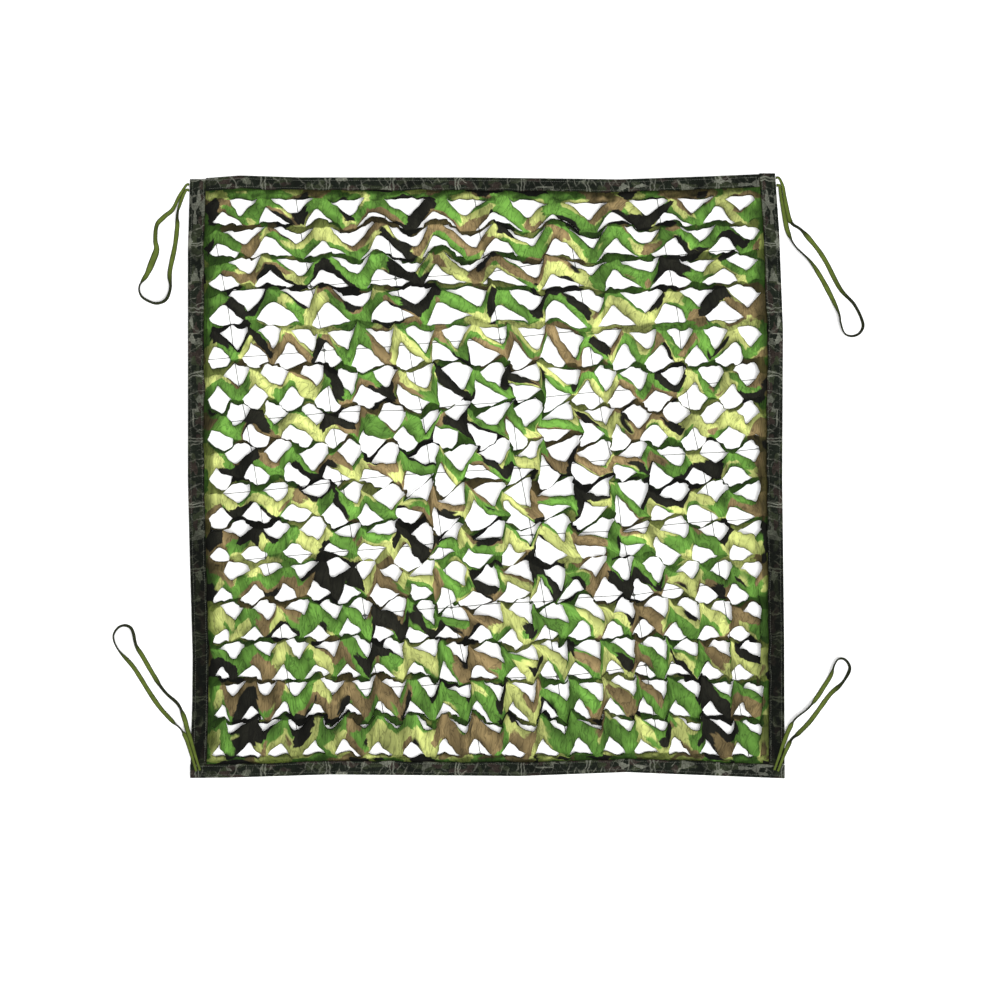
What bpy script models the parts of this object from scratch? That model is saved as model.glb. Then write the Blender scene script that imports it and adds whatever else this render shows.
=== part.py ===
"""A camouflage net, about 1.5 m square, laid out flat on the ground.

One sheet of printed cloth is cut with staggered slits and pulled open, so zigzag ribbons
run between twisted, nearly straight strands. Behind it lies a thin cord net with knots. A
folded binding holds the edges of both, and a loop of flat tape is sewn to each corner.

Metres, +Z up, +Y towards the net's top edge. The ground is z = 0, under the net's middle.
Sizes are given in mm and become metres where a mesh is made.
"""

import bpy
import bmesh
import numpy as np

MM = 0.001

# The net's outline, mm from its middle, uneven as the real one. Each pair is a place along the
# side (Y for left and right, X for top and bottom) and how far across the side lies there.
OUTLINE = {
    "left": (
        (-760, -752), (-570, -747), (-455, -746), (-213, -753), (-10, -758), (574, -758), (752, -753),
    ),
    "right": ((-760, 757), (-417, 756), (-10, 751), (371, 753), (625, 743), (764, 733)),
    "top": ((-753, 753), (-626, 763), (-474, 758), (-42, 758), (339, 753), (542, 760), (733, 768)),
    "bottom": ((-748, -767), (-652, -766), (-398, -758), (85, -762), (354, -752), (757, -768)),
}

# Binding: tape folded over the edge, with a flat lower leg and a crumpled upper leg.
BINDING_WIDTH = {"left": 41.0, "right": 40.0, "top": 33.0, "bottom": 35.0}
BINDING_STATIONS = 23
BINDING_THICK = 1.2
BINDING_HIGH = 6.2  # top of the upper leg, before it crumples
BINDING_CRUMPLE = 3.2  # how far its ridges rise
CORNER_PRESSED = 0.12  # share of a strip's length that is pressed flat at its ends
BUTT_GAP = 0.4  # between pieces that meet end to end

# Cloth: one lattice of ribbons.
CLOTH_THICK = 1.2
COLUMNS = 10  # repeats of the slits across the net
ROWS = 12  # zigzag ribbons down the net
SIDE_PHASE = 0.25  # of a repeat, where the left and right edges cut the lattice
SELVEDGE = 16.0  # unslit cloth beside the left and right binding
SELVEDGE_UNEVEN = 4.0
LEVEL = 4.0  # how far the cloth goes on level beyond the binding's inner edge
BOND = 0.13  # of a repeat, half the width of a bond between two slits
TIP = 0.4  # of that, half the width of the tip that a zigzag's free edge turns in
BOND_TILT = 26.0  # how far a bond's end lies higher or lower, for each repeat of skew
ARM_TWIST = 1.5  # how far a zigzag's two edges are raised and lowered on its arms
TALL = 1457.0  # of the cloth that shows between the top and bottom binding
HEADER = 25.0  # of it that has no slits at the top
FOOTER = 20.0  # and at the bottom
TIGHT_ROWS = 0.22  # share of the rows, next to the top, that are pulled open less
TIGHT_PITCH = 0.8  # their pitch against the others'
SWAY = 10.0  # how far the rows and columns wander from straight
SWAY_LENGTH = (130.0, 210.0)  # of that wander, along and across it
CLOTH_LOW = 3.6  # lowest height of the sheet's middle
CLOTH_IN_BINDING = 4.1  # its height between the binding's legs
CLOTH_TUCK = 6.0  # how far short of the fold it stops
JITTER = (8.0, 4.5, 1.2)  # unevenness in x, y and z
SEED = 11

# How the lattice varies over the net. Each table has a row for the net's top, upper, lower and
# foot zones, and columns from left to right.
PERIOD = (  # width of a repeat, against the others in its row
    (0.80, 1.15, 1.15, 0.82),
    (1.02, 0.96, 0.98, 1.06),
    (1.00, 0.95, 0.98, 1.05),
    (0.95, 1.00, 1.03, 0.98),
)
SKEW = (  # how far a trough lies right of the middle of its repeat, in repeats
    (0.04, 0.00, 0.00, -0.02),
    (0.04, 0.18, 0.16, -0.02),
    (-0.08, 0.16, 0.18, 0.14),
    (-0.18, 0.06, 0.16, 0.14),
)
RIBBON = (  # how tall a zigzag is, in row pitches
    (0.32, 0.40, 0.40, 0.34),
    (0.30, 0.30, 0.30, 0.30),
    (0.36, 0.32, 0.29, 0.32),
    (0.44, 0.44, 0.40, 0.42),
)
STRAND = (  # how tall a strand is, in row pitches
    (0.18, 0.20, 0.20, 0.18),
    (0.16, 0.16, 0.16, 0.16),
    (0.17, 0.16, 0.15, 0.16),
    (0.19, 0.19, 0.18, 0.18),
)
WAVE = (  # how far the bonds pull a strand up and down; below 0 it follows the zigzags
    (0, -15, -15, 0),
    (7, 4, 4, 7),
    (7, 8, 8, 7),
    (5, 6, 6, 5),
)
RELIEF = (  # how far the sheet rises and falls, in mm
    (6, 5, 5, 7),
    (9, 11, 10, 9),
    (10, 12, 11, 10),
    (9, 9, 9, 9),
)

# Backing net: flat-lying cords, and a raised knot where two cross.
CORD_THICK = 1.6
KNOT_HIGH = 2.5
KNOT_ACROSS = 8.0
CORD_ROWS = (522, 350, 190, 15, -166, -330, -520)  # where each crosses x = 0
CORD_RISE = 0.086  # how far a row goes up as it goes right
CORD_COLUMNS = (-590, -365, -140, 91, 320, 550)  # where each crosses y = 0
CORD_SLANT = -0.168  # how far a column goes right as it goes up
CORD_UNEVEN = 7.0
CORD_SEED = 5

# Tie loops of flat tape.
TAPE_WIDE = 12.0
TAPE_THICK = 1.2
TAPE_STEP = 16.0
TAPE_CLEAR = 0.2  # everywhere under it, so that no twist reaches below the ground
TAPE_STEEPEST = 84.0  # degrees on edge, at its tightest bends

# A row is a point of the tape's route, from its corner and back to it. Its columns are x, y, the
# lift (of the tape's lower edge above the ground) and turned (0 lies flat, 90 stands on edge).
TIES = {
    "tie_top_left": (
        (-755, 739, 0, 0), (-762, 739, 0, 0), (-780, 711, 0, 0), (-797, 677, 0, 0), (-819, 658, 0, 35),
        (-837, 637, 0, 70), (-841, 600, 0, 35), (-838, 575, 0, 10), (-848, 546, 0, 5), (-862, 513, 0, 10),
        (-881, 481, 0, 60), (-876, 457, 0, 80), (-856, 443, 0, 84), (-835, 438, 0, 80), (-813, 448, 0, 75),
        (-802, 478, 0, 55), (-804, 518, 0, 25), (-791, 584, 0, 20), (-785, 636, 0, 30), (-784, 666, 1.6, 5),
        (-776, 697, 1.6, 0), (-763, 725, 1.6, 0), (-755, 725, 1.6, 0),
    ),
    "tie_top_right": (
        (735, 757, 0, 0), (743, 757, 0, 0), (753, 735, 0, 0), (757, 710, 0, 0), (768, 656, 0, 5),
        (778, 638, 0, 45), (798, 625, 0, 65), (832, 588, 0, 35), (861, 546, 0, 15), (898, 475, 0, 30),
        (934, 434, 0, 60), (955, 388, 0, 80), (948, 364, 0, 84), (928, 355, 0, 84), (909, 362, 0, 80),
        (899, 388, 0, 60), (893, 417, 0, 40), (861, 484, 0, 20), (826, 540, 0, 15), (784, 583, 0, 30),
        (766, 618, 1.0, 20), (758, 652, 1.6, 0), (748, 706, 1.6, 0), (744, 737, 1.6, 0),
        (736.5, 737, 1.6, 0),
    ),
    "tie_bottom_left": (
        (-727, -747, 6.8, 0), (-739, -708, 6.8, 0), (-750, -670, 6.8, 0), (-759, -643, 6.0, 0),
        (-766, -618, 3.0, 5), (-782, -580, 0, 15), (-815, -549, 0, 35), (-844, -508, 0, 20),
        (-872, -460, 0, 15), (-889, -430, 0, 45), (-896, -399, 0, 75), (-904, -384, 0, 84),
        (-920, -379, 0, 84), (-937, -387, 0, 84), (-947, -409, 0, 75), (-934, -442, 0, 45),
        (-896, -486, 0, 20), (-853, -554, 0, 15), (-826, -592, 0, 20), (-796, -624, 0, 10),
        (-776, -641, 4.5, 0), (-763, -662, 8.4, 0), (-753, -692, 8.4, 0), (-739, -738, 8.4, 0),
        (-736, -749, 8.4, 0),
    ),
    "tie_bottom_right": (
        (730, -746, 6.8, 0), (743, -710, 6.8, 0), (750, -688, 6.8, 0), (758, -666, 6.8, 0),
        (769, -640, 5.0, 5), (784, -616, 1.5, 10), (814, -592, 0, 30), (838, -564, 0, 35),
        (855, -538, 0, 20), (874, -507, 0, 25), (883, -480, 0, 60), (893, -465, 0, 80),
        (908, -465, 0, 84), (920, -479, 0, 84), (920, -496, 0, 75), (902, -526, 0, 45),
        (873, -554, 0, 20), (845, -592, 0, 15), (819, -626, 0, 20), (791, -654, 0, 10),
        (775, -666, 4.5, 0), (765, -684, 8.4, 0), (754, -710, 8.4, 0), (742, -742, 8.4, 0),
        (739, -749, 8.4, 0),
    ),
}

# Colours, linear red, green, blue.
CLOTH_GREEN = (0.085, 0.22, 0.045)
BINDING_DARK = (0.030, 0.036, 0.028)
CORD_GREY = (0.035, 0.040, 0.035)
TAPE_OLIVE = (0.13, 0.20, 0.03)


def make_collection():
    """Clear the scene and return a new collection named for the object."""
    for thing in list(bpy.data.objects):
        bpy.data.objects.remove(thing)
    collection = bpy.data.collections.new("camouflage_net")
    bpy.context.scene.collection.children.link(collection)
    return collection


def make_material(name, colour, roughness):
    """A plain fabric finish."""
    material = bpy.data.materials.new(name)
    material.use_nodes = True
    shader = material.node_tree.nodes["Principled BSDF"]
    shader.inputs["Base Color"].default_value = (*colour, 1.0)
    shader.inputs["Roughness"].default_value = roughness
    shader.inputs["Metallic"].default_value = 0.0
    return material


def make_shell(collection, name, points, faces, material, thick, offset, full=(), rest=1.0):
    """An object from an open surface given in mm, thickened by Solidify.

    Points that no face uses are dropped. An offset of -1 thickens behind the faces, 0 both
    ways and 1 in front of them. Where full lists points, they alone get the whole thickness,
    and the others get the share rest of it.
    """
    mesh = bpy.data.meshes.new(name)
    mesh.from_pydata((np.asarray(points) * MM).tolist(), [], faces)
    mesh.materials.append(material)
    piece = bpy.data.objects.new(name, mesh)
    collection.objects.link(piece)
    wall = piece.modifiers.new("thickness", "SOLIDIFY")
    wall.thickness = thick * MM
    wall.offset = offset
    if len(full):
        piece.vertex_groups.new(name="full").add(full, 1.0, "REPLACE")
        wall.vertex_group = "full"
        wall.thickness_vertex_group = rest
    shape = bmesh.new()
    shape.from_mesh(mesh)
    loose = [corner for corner in shape.verts if not corner.link_faces]
    bmesh.ops.delete(shape, geom=loose, context="VERTS")
    shape.to_mesh(mesh)
    shape.free()
    return piece


def side_at(side, along):
    """How far across the net's edge lies on a side, at a place along it."""
    places, across = np.array(OUTLINE[side], dtype=float).T
    return np.interp(along, places, across)


def inner_side(side, along):
    """The same for the binding's inner edge."""
    inward = {"left": 1, "bottom": 1, "right": -1, "top": -1}[side]
    return side_at(side, along) + inward * BINDING_WIDTH[side]


def zone(table, across, down):
    """Blend a 4 x 4 table of the net's zones at shares across and down it, each 0 to 1."""
    table = np.array(table, dtype=float)
    column = np.clip(across, 0, 1) * 3
    row = np.clip(down, 0, 1) * 3
    left = np.minimum(np.floor(column).astype(int), 2)
    above = np.minimum(np.floor(row).astype(int), 2)
    right_share = column - left
    below_share = row - above
    upper = table[above, left] * (1 - right_share) + table[above, left + 1] * right_share
    lower = table[above + 1, left] * (1 - right_share) + table[above + 1, left + 1] * right_share
    return upper * (1 - below_share) + lower * below_share


# ---- cloth ----


def slit_columns():
    """Where the lattice's columns lie, in repeats, how much of a crest each is, and its turn.

    At a crest (1) a zigzag is joined to the strand above it, at a trough (0) to the strand
    below it, and an arm (0.5) runs between. The turn is -1 at a bond's left end, 1 at its right
    end and 0 on an arm. The first and last columns are the slits' ends at the cloth's sides.
    """
    repeat = (
        (BOND, 1, 1), (0.25, 0.5, 0), (0.5 - BOND, 0, -1), (0.5 + BOND, 0, 1), (0.75, 0.5, 0),
        (1 - BOND, 1, -1),
    )
    every = [(start + place, *rest) for start in range(-1, COLUMNS) for place, *rest in repeat]
    low = -SIDE_PHASE
    high = COLUMNS - SIDE_PHASE
    kept = [entry for entry in every if low - BOND / 9 < entry[0] < high + BOND / 9]
    return np.array(kept, dtype=float).T


def lattice_lines(crest, turn, share):
    """Depth and height of each line of the lattice from the top binding's edge down.

    Each zigzag's upper edge hangs from the strand above at a crest, and its lower edge meets the
    strand below at a trough. The sheet climbs across a strand and falls along the zigzag under
    it. A bond is turned with the zone's skew: one end of it lies lower than the other. Depths are
    mm down from the top binding, heights mm above the sheet's lowest.
    """
    pitch = np.ones(ROWS)
    pitch[: round(ROWS * TIGHT_ROWS)] = TIGHT_PITCH
    last_strand = np.mean(STRAND[-1])
    unit = (TALL - HEADER - FOOTER) / (pitch.sum() - last_strand)
    level = HEADER + unit * np.concatenate(([0.0], np.cumsum(pitch)))
    flat = np.zeros(len(crest))
    foot = flat + level[0]
    twist = ARM_TWIST * (turn == 0) * np.sign(np.roll(crest, 1) - crest)
    twist[[0, -1]] = 0
    depths = [flat + LEVEL, foot]
    heights = [flat, 0.4 * zone(RELIEF, share, flat)]
    for row in range(ROWS):
        down = flat + level[row] / TALL
        ribbon = zone(RIBBON, share, down) * unit
        relief = zone(RELIEF, share, down)
        tilt = turn * BOND_TILT * zone(SKEW, share, down)
        wave = zone(WAVE, share, down) * (2 * crest - 1)
        last = row == ROWS - 1
        below = level[row + 1] - zone(STRAND, share, down) * unit + (wave + tilt) * (not last)
        depths += [crest * (foot + tilt * (row > 0)) + (1 - crest) * (below - ribbon)]
        depths += [crest * (foot + ribbon) + (1 - crest) * below, below]
        heights += [(0.3 + 0.7 * crest) * relief + twist, 0.75 * crest * relief - twist, flat]
        if not last:
            foot = level[row + 1] + wave + tilt
            depths += [foot]
            heights += [(0.75 + 0.25 * crest) * relief]
    return np.array(depths + [flat + TALL - LEVEL]), np.array(heights + [flat])


def spread_across(places, crest, turn, down, lower):
    """Share of the net's width at each column of a line: the running sum of the zone's periods.

    Troughs move sideways by the zone's skew, which makes one arm of a zigzag long and one short.
    A zigzag's free edge turns in a narrow tip across from its bond, so there the bond's two
    columns close up on their middle. Arms' columns stay halfway between their neighbours.
    lower is 0 for a zigzag's upper edge, 1 for its lower edge and None for any other line.
    """
    share = (places + SIDE_PHASE) / COLUMNS
    middles = (np.arange(COLUMNS) + 0.5) / COLUMNS
    periods = zone(PERIOD, middles, np.full(COLUMNS, down))
    marks = np.concatenate(([0.0], np.cumsum(periods))) / periods.sum()
    inside = np.clip(np.minimum(share, 1 - share) * COLUMNS * 4, 0, 1)
    moved = places + SIDE_PHASE + (1 - crest) * inside * zone(SKEW, share, np.full(len(share), down))
    if lower is not None:
        free = crest if lower else 1 - crest
        moved = moved - turn * BOND * (1 - TIP) * free
    arms = np.flatnonzero(turn[1:-1] == 0) + 1
    moved[arms] = (moved[arms - 1] + moved[arms + 1]) / 2
    return np.interp(moved, np.arange(COLUMNS + 1), marks)


def lattice_points():
    """Where the lattice's lines meet its columns: an array of lines x columns x 3, in mm.

    Beside the slits' ends come the binding's inner edge and the cloth's own edge, which is
    tucked between the binding's legs.
    """
    places, crest, turn = slit_columns()
    share = (places + SIDE_PHASE) / COLUMNS
    depths, heights = lattice_lines(crest, turn, share)
    lines, columns = depths.shape
    down = depths / TALL
    edges = [None, None] + [0, 1, None, None] * ROWS
    across = np.array([
        spread_across(places, crest, turn, row.mean(), edge) for row, edge in zip(down, edges)
    ])
    loose = np.random.default_rng(SEED).uniform(-1, 1, (3, lines, columns))
    loose[:, [0, -1], :] = 0
    loose[:, :, [0, -1]] = 0
    along, over = SWAY_LENGTH
    x = (across - 0.5) * 2 * side_at("right", 0.0)
    y = (0.5 - down) * TALL
    left = inner_side("left", y) + SELVEDGE + SELVEDGE_UNEVEN * np.sin(y / along * 3)
    right = inner_side("right", y) - SELVEDGE - SELVEDGE_UNEVEN * np.sin(y / over * 5)
    top = inner_side("top", x)
    x = left + (right - left) * across + loose[0] * JITTER[0]
    y = top + (inner_side("bottom", x) - top) * down + loose[1] * JITTER[1]
    fade = np.sin(np.pi * down) * np.sin(np.pi * across)
    x, y = (
        x + SWAY * fade * np.sin(y / along - x / over),
        y + SWAY * fade * np.sin(x / along + y / over),
    )
    z = CLOTH_LOW + heights + (loose[2] + 1) * JITTER[2]
    z[[0, -1], :] = CLOTH_IN_BINDING
    net = np.stack((x, y, z), axis=2)
    net = np.concatenate((net[:1], net, net[-1:]), axis=0)
    net[0, :, 1] = side_at("top", net[0, :, 0]) - CLOTH_TUCK
    net[-1, :, 1] = side_at("bottom", net[-1, :, 0]) + CLOTH_TUCK
    net = np.concatenate((net[:, :1], net[:, :1], net, net[:, -1:], net[:, -1:]), axis=1)
    for outer, beside, side, inward in ((0, 1, "left", 1), (-1, -2, "right", -1)):
        net[:, outer, 0] = side_at(side, net[:, outer, 1]) + inward * CLOTH_TUCK
        net[:, beside, 0] = inner_side(side, net[:, beside, 1]) + inward * LEVEL
        net[:, [outer, beside], 2] = CLOTH_IN_BINDING
    return net, np.pad(crest, 2, constant_values=0.5)


def join_slits(net, crest):
    """Number the lattice's points, giving the two edges of a slit one number where it is bonded.

    Lines go tuck, edge, header's foot, then for each row the zigzag's two edges and the next
    strand's two. So a slit lies after every second line from the header's foot on.
    """
    lines, columns = net.shape[:2]
    number = np.arange(lines * columns).reshape(lines, columns)
    side = np.zeros(columns, dtype=bool)
    side[[0, 1, 2, -3, -2, -1]] = True
    slits = list(range(2, lines - 3, 2))
    for upper in slits:
        bonded_at = 1 if (upper - 2) % 4 == 0 else 0
        bonded = side | (crest == bonded_at)
        net[upper, bonded] = (net[upper, bonded] + net[upper + 1, bonded]) / 2
        number[upper + 1, bonded] = number[upper, bonded]
    return number, slits


def make_cloth(collection, material):
    """The slit sheet: the lattice's ribbons as one open surface."""
    net, crest = lattice_points()
    number, slits = join_slits(net, crest)
    faces = []
    for line in range(len(number) - 1):
        if line in slits:
            continue
        upper = number[line]
        lower = number[line + 1]
        for column in range(len(upper) - 1):
            faces.append((upper[column], lower[column], lower[column + 1], upper[column + 1]))
    faces = [tuple(int(corner) for corner in face) for face in faces]
    return make_shell(collection, "camo_cloth", net.reshape(-1, 3), faces, material, CLOTH_THICK, 0)


# ---- backing net ----


def cord_sides(x, y, reach):
    """The edges of the cords that leave a place east, north, west and south: four pairs of points."""
    pair = np.array(((reach, -CORD_THICK / 2), (reach, CORD_THICK / 2)))
    quarter_turn = np.array(((0, 1), (-1, 0)))
    pairs = []
    for _ in range(4):
        pairs += [(x + east, y + north, 0.0) for east, north in pair]
        pair = pair @ quarter_turn
    return pairs


def knot_places():
    """Where the slanting cords cross, unevenly: an array of rows x columns x 2."""
    up = np.array(CORD_ROWS, dtype=float)[:, None]
    right = np.array(CORD_COLUMNS, dtype=float)[None, :]
    x = (right + CORD_SLANT * up) / (1 - CORD_SLANT * CORD_RISE)
    places = np.stack((x, up + CORD_RISE * x), axis=2)
    return places + np.random.default_rng(CORD_SEED).uniform(-CORD_UNEVEN, CORD_UNEVEN, places.shape)


def cord_end(side, place):
    """Where a cord from an outermost knot meets the binding on a side."""
    x, y = place
    across = side in ("left", "right")
    slope = CORD_RISE if across else CORD_SLANT
    run = inner_side(side, y if across else x) - (x if across else y)
    along = (y if across else x) + slope * run
    gap = BUTT_GAP if side in ("left", "bottom") else -BUTT_GAP
    reached = inner_side(side, along) + gap
    return (reached, along) if across else (along, reached)


def make_backing(collection, material):
    """The cord net: each knot is a raised fan of triangles, and a flat strip joins it to the next."""
    points = []
    faces = []

    def add(new):
        """Append points and return the first one's number."""
        points.extend(new)
        return len(points) - len(new)

    def link(start, stop):
        """A strip of cord between two pairs of points."""
        faces.append((start[0], stop[1], stop[0], start[1]))

    places = knot_places()
    rows, columns = places.shape[:2]
    knots = {}
    for i in range(rows):
        for j in range(columns):
            middle = add([(*places[i, j], 0.0)])
            rim = add(cord_sides(*places[i, j], KNOT_ACROSS / 2))
            faces += [(middle, rim + k, rim + (k + 1) % 8) for k in range(8)]
            knots[i, j] = {way: (rim + 2 * k, rim + 2 * k + 1) for k, way in enumerate("ENWS")}
            knots[i, j]["middle"] = middle

    def end(side, place, way):
        """The pair of points where a cord reaches the binding, facing a way."""
        first = add(cord_sides(*cord_end(side, place), 0.0)) + 2 * "ENWS".index(way)
        return first, first + 1

    for i in range(rows):
        link(end("left", places[i, 0], "E"), knots[i, 0]["W"])
        link(knots[i, columns - 1]["E"], end("right", places[i, -1], "W"))
        for j in range(columns - 1):
            link(knots[i, j]["E"], knots[i, j + 1]["W"])
    for j in range(columns):
        link(end("top", places[0, j], "S"), knots[0, j]["N"])
        link(knots[rows - 1, j]["S"], end("bottom", places[-1, j], "N"))
        for i in range(rows - 1):
            link(knots[i, j]["S"], knots[i + 1, j]["N"])
    middles = [knot["middle"] for knot in knots.values()]
    rest = CORD_THICK / KNOT_HIGH
    return make_shell(collection, "backing_net", points, faces, material, KNOT_HIGH, 1, middles, rest)


# ---- binding ----


def make_binding(collection, side, start, stop, material, seed):
    """One strip of binding: a C section, open towards the net, carried along its side.

    The section's points are the outer surface from the lower leg's inner edge, round the fold,
    to the upper leg's inner edge: how far each is across the strip, and its height. The upper
    leg's points rise by an uneven crumple, which dies out where the corners are pressed flat.
    """
    width = BINDING_WIDTH[side]
    lower = ((0, 0), (width - 2, 0), (width, BINDING_HIGH / 2))
    upper = ((width - 3, BINDING_HIGH), (width / 2, BINDING_HIGH), (0, BINDING_HIGH))
    section = np.array(lower + upper)
    rises = np.array((0, 0, 0, 0.4, 1.0, 0.5)) * BINDING_CRUMPLE
    along = np.linspace(start, stop, BINDING_STATIONS)
    share = np.linspace(0, 1, BINDING_STATIONS)
    pressed = np.clip(np.minimum(share, 1 - share) / CORNER_PRESSED - 0.5, 0, 1)
    crumple = np.random.default_rng(seed).uniform(0, 1, (BINDING_STATIONS, len(section)))
    outward = -1 if side in ("left", "bottom") else 1
    across = inner_side(side, along)[:, None] + outward * section[:, 0]
    height = section[:, 1] + crumple * rises * pressed[:, None]
    along = np.repeat(along[:, None], len(section), axis=1)
    planes = (across, along, height) if side in ("left", "right") else (along, across, height)
    points = np.stack(planes, axis=2).reshape(-1, 3)
    faces = []
    for station in range(BINDING_STATIONS - 1):
        for corner in range(len(section) - 1):
            a = station * len(section) + corner
            b = a + len(section)
            faces.append((a, b, b + 1, a + 1) if side in ("right", "bottom") else (a, a + 1, b + 1, b))
    return make_shell(collection, "binding_" + side, points, faces, material, BINDING_THICK, -1)


def make_bindings(collection, material):
    """The sides run up to the top corners, the top butts between them, the bottom runs full width."""
    left = side_at("left", OUTLINE["left"][0][0])
    right = side_at("right", OUTLINE["right"][0][0])
    for side, seed in (("left", 21), ("right", 22)):
        outer = side_at(side, OUTLINE[side][0][0])
        inner = inner_side(side, OUTLINE[side][0][0])
        foot = max(inner_side("bottom", outer), inner_side("bottom", inner)) + BUTT_GAP
        make_binding(collection, side, foot, side_at("top", outer), material, seed)
    heights = np.array((OUTLINE["top"][0][1] - BINDING_WIDTH["top"], OUTLINE["top"][-1][1]))
    inner_left = inner_side("left", heights).max() + BUTT_GAP
    inner_right = inner_side("right", heights).min() - BUTT_GAP
    make_binding(collection, "top", inner_left, inner_right, material, 23)
    make_binding(collection, "bottom", left, right, material, 24)


# ---- ties ----


def smooth_route(rows, step):
    """Points about a step apart on a smooth curve (Catmull-Rom) through a table's rows."""
    rows = np.array(rows, dtype=float)
    ends = np.concatenate(([2 * rows[0] - rows[1]], rows, [2 * rows[-1] - rows[-2]]))
    share = np.linspace(0, 1, 16, endpoint=False)[:, None]
    curve = []
    for before, start, stop, after in zip(ends, ends[1:], ends[2:], ends[3:]):
        bend = 2 * before - 5 * start + 4 * stop - after
        swing = 3 * start - before - 3 * stop + after
        curve.append(start + ((stop - before) * share + bend * share**2 + swing * share**3) / 2)
    curve = np.concatenate(curve + [rows[-1:]])
    lengths = np.concatenate(([0.0], np.cumsum(np.linalg.norm(np.diff(curve[:, :2], axis=0), axis=1))))
    at = np.linspace(0, lengths[-1], round(lengths[-1] / step) + 1)
    return np.stack([np.interp(at, lengths, column) for column in curve.T], axis=1)


def make_tie(collection, name, material):
    """A loop of tape: its two edges lie either side of the route, turned about it."""
    x, y, lift, turned = smooth_route(TIES[name], TAPE_STEP).T
    lift = np.maximum(lift, 0.0) + TAPE_CLEAR
    turned = np.radians(np.clip(turned, 0.0, TAPE_STEEPEST))
    ahead = np.stack((np.gradient(x), np.gradient(y)), axis=1)
    ahead[0] = np.subtract(TIES[name][1], TIES[name][0])[:2]
    ahead[-1] = np.subtract(TIES[name][-1], TIES[name][-2])[:2]
    ahead /= np.linalg.norm(ahead, axis=1)[:, None]
    half = TAPE_WIDE / 2
    height = lift + half * np.sin(turned) + TAPE_THICK / 2 * np.cos(turned)
    middle = np.stack((x, y, height), axis=1)
    side = np.stack((-ahead[:, 1] * np.cos(turned), ahead[:, 0] * np.cos(turned), np.sin(turned)), axis=1)
    points = np.stack((middle - half * side, middle + half * side), axis=1).reshape(-1, 3)
    faces = [(2 * k, 2 * k + 2, 2 * k + 3, 2 * k + 1) for k in range(len(middle) - 1)]
    return make_shell(collection, name, points, faces, material, TAPE_THICK, 0)


def main():
    collection = make_collection()
    make_cloth(collection, make_material("camo_cloth", CLOTH_GREEN, 0.85))
    make_backing(collection, make_material("backing_cord", CORD_GREY, 0.8))
    make_bindings(collection, make_material("binding_tape", BINDING_DARK, 0.9))
    olive = make_material("tie_tape", TAPE_OLIVE, 0.85)
    for name in TIES:
        make_tie(collection, name, olive)


main()
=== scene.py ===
"""A camouflage net laid out flat: its finished surfaces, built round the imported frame.

The cloth is one sheet of printed cloth, slit and pulled open. The binding, the cord net behind
the cloth, the four tape loops and the stitching are pieces of their own. Shapes are worked out
in mm and become metres where a mesh is made.
"""

import bpy
import numpy as np
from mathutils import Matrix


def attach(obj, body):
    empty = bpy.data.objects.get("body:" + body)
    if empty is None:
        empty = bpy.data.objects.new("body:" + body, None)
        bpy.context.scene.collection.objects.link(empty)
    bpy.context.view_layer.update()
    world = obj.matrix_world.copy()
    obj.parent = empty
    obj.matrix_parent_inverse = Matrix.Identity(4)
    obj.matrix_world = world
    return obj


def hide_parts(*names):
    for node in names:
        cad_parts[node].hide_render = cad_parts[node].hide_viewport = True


bl_info = {
    "name": "Camouflage net",
    "version": (1, 0, 0),
    "blender": (4, 5, 0),
    "location": "3D view > Sidebar > Net",
    "description": "Builds the finished surfaces of a slit camouflage net",
    "category": "Add Mesh",
}

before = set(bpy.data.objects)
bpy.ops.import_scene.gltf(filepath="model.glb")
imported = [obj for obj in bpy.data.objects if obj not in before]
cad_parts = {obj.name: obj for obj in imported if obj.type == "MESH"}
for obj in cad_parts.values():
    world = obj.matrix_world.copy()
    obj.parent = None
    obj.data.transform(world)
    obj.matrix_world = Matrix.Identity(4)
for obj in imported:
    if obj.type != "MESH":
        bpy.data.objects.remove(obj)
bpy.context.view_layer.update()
MM = 0.001
PIXEL = 2.54  # mm of the ground that one pixel of the 1000 x 1000 picture covers
NET_CENTRE_PIXEL = (486.5, 476.0)
LAMP_AZIMUTH = -35.0  # degrees from +X round to +Y, where the light comes from
LAMP_ELEVATION = 52.0
LAMP_SOFTNESS = 50.0  # degrees across

# The net's outline, mm from its middle. Each pair is a place along the side (Y for left and
# right, X for top and bottom) and how far across the side lies there.
OUTLINE = {
    "left": (
        (-760, -752), (-570, -747), (-455, -746), (-213, -753), (-10, -758), (574, -758), (752, -753),
    ),
    "right": ((-760, 757), (-417, 756), (-10, 751), (371, 753), (625, 743), (764, 733)),
    "top": ((-753, 753), (-626, 763), (-474, 758), (-42, 758), (339, 753), (542, 760), (733, 768)),
    "bottom": ((-748, -767), (-652, -766), (-398, -758), (85, -762), (354, -752), (757, -768)),
}
BINDING_WIDTH = {"left": 41.0, "right": 40.0, "top": 33.0, "bottom": 35.0}
BINDING_HIGH = 6.2  # mm that a strip's fold stands above the ground
FOLD = (0.44, 0.56)  # shares round a strip's section where its fold starts and stops
FOLD_DEEP = 3.0  # mm that the fold reaches out past the two legs
FOLD_ROWS = (4, 6, 18)  # points round the lower leg, the fold and the upper leg
STRIP_STEP = 5.0  # mm between two sections of a strip
STRIP_WALL = 1.0  # mm
BUTT = 0.4  # mm between two strips that butt
TOP_STRIP = (720.0, 768.0)  # mm up the net between which the top strip lies
PUCKER = (1.9, 1.5, 0.8)  # mm of the upper leg's mean rise, its slanting ridges and finer ones
RIDGES = ((0.7, 0.4, 42.0, 7), (-0.5, 0.7, 17.0, 9))  # of both: lean, stretch, length, waves
BULGE = (1.2, 90.0)  # mm that the upper leg's edge wanders, and over what length
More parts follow.
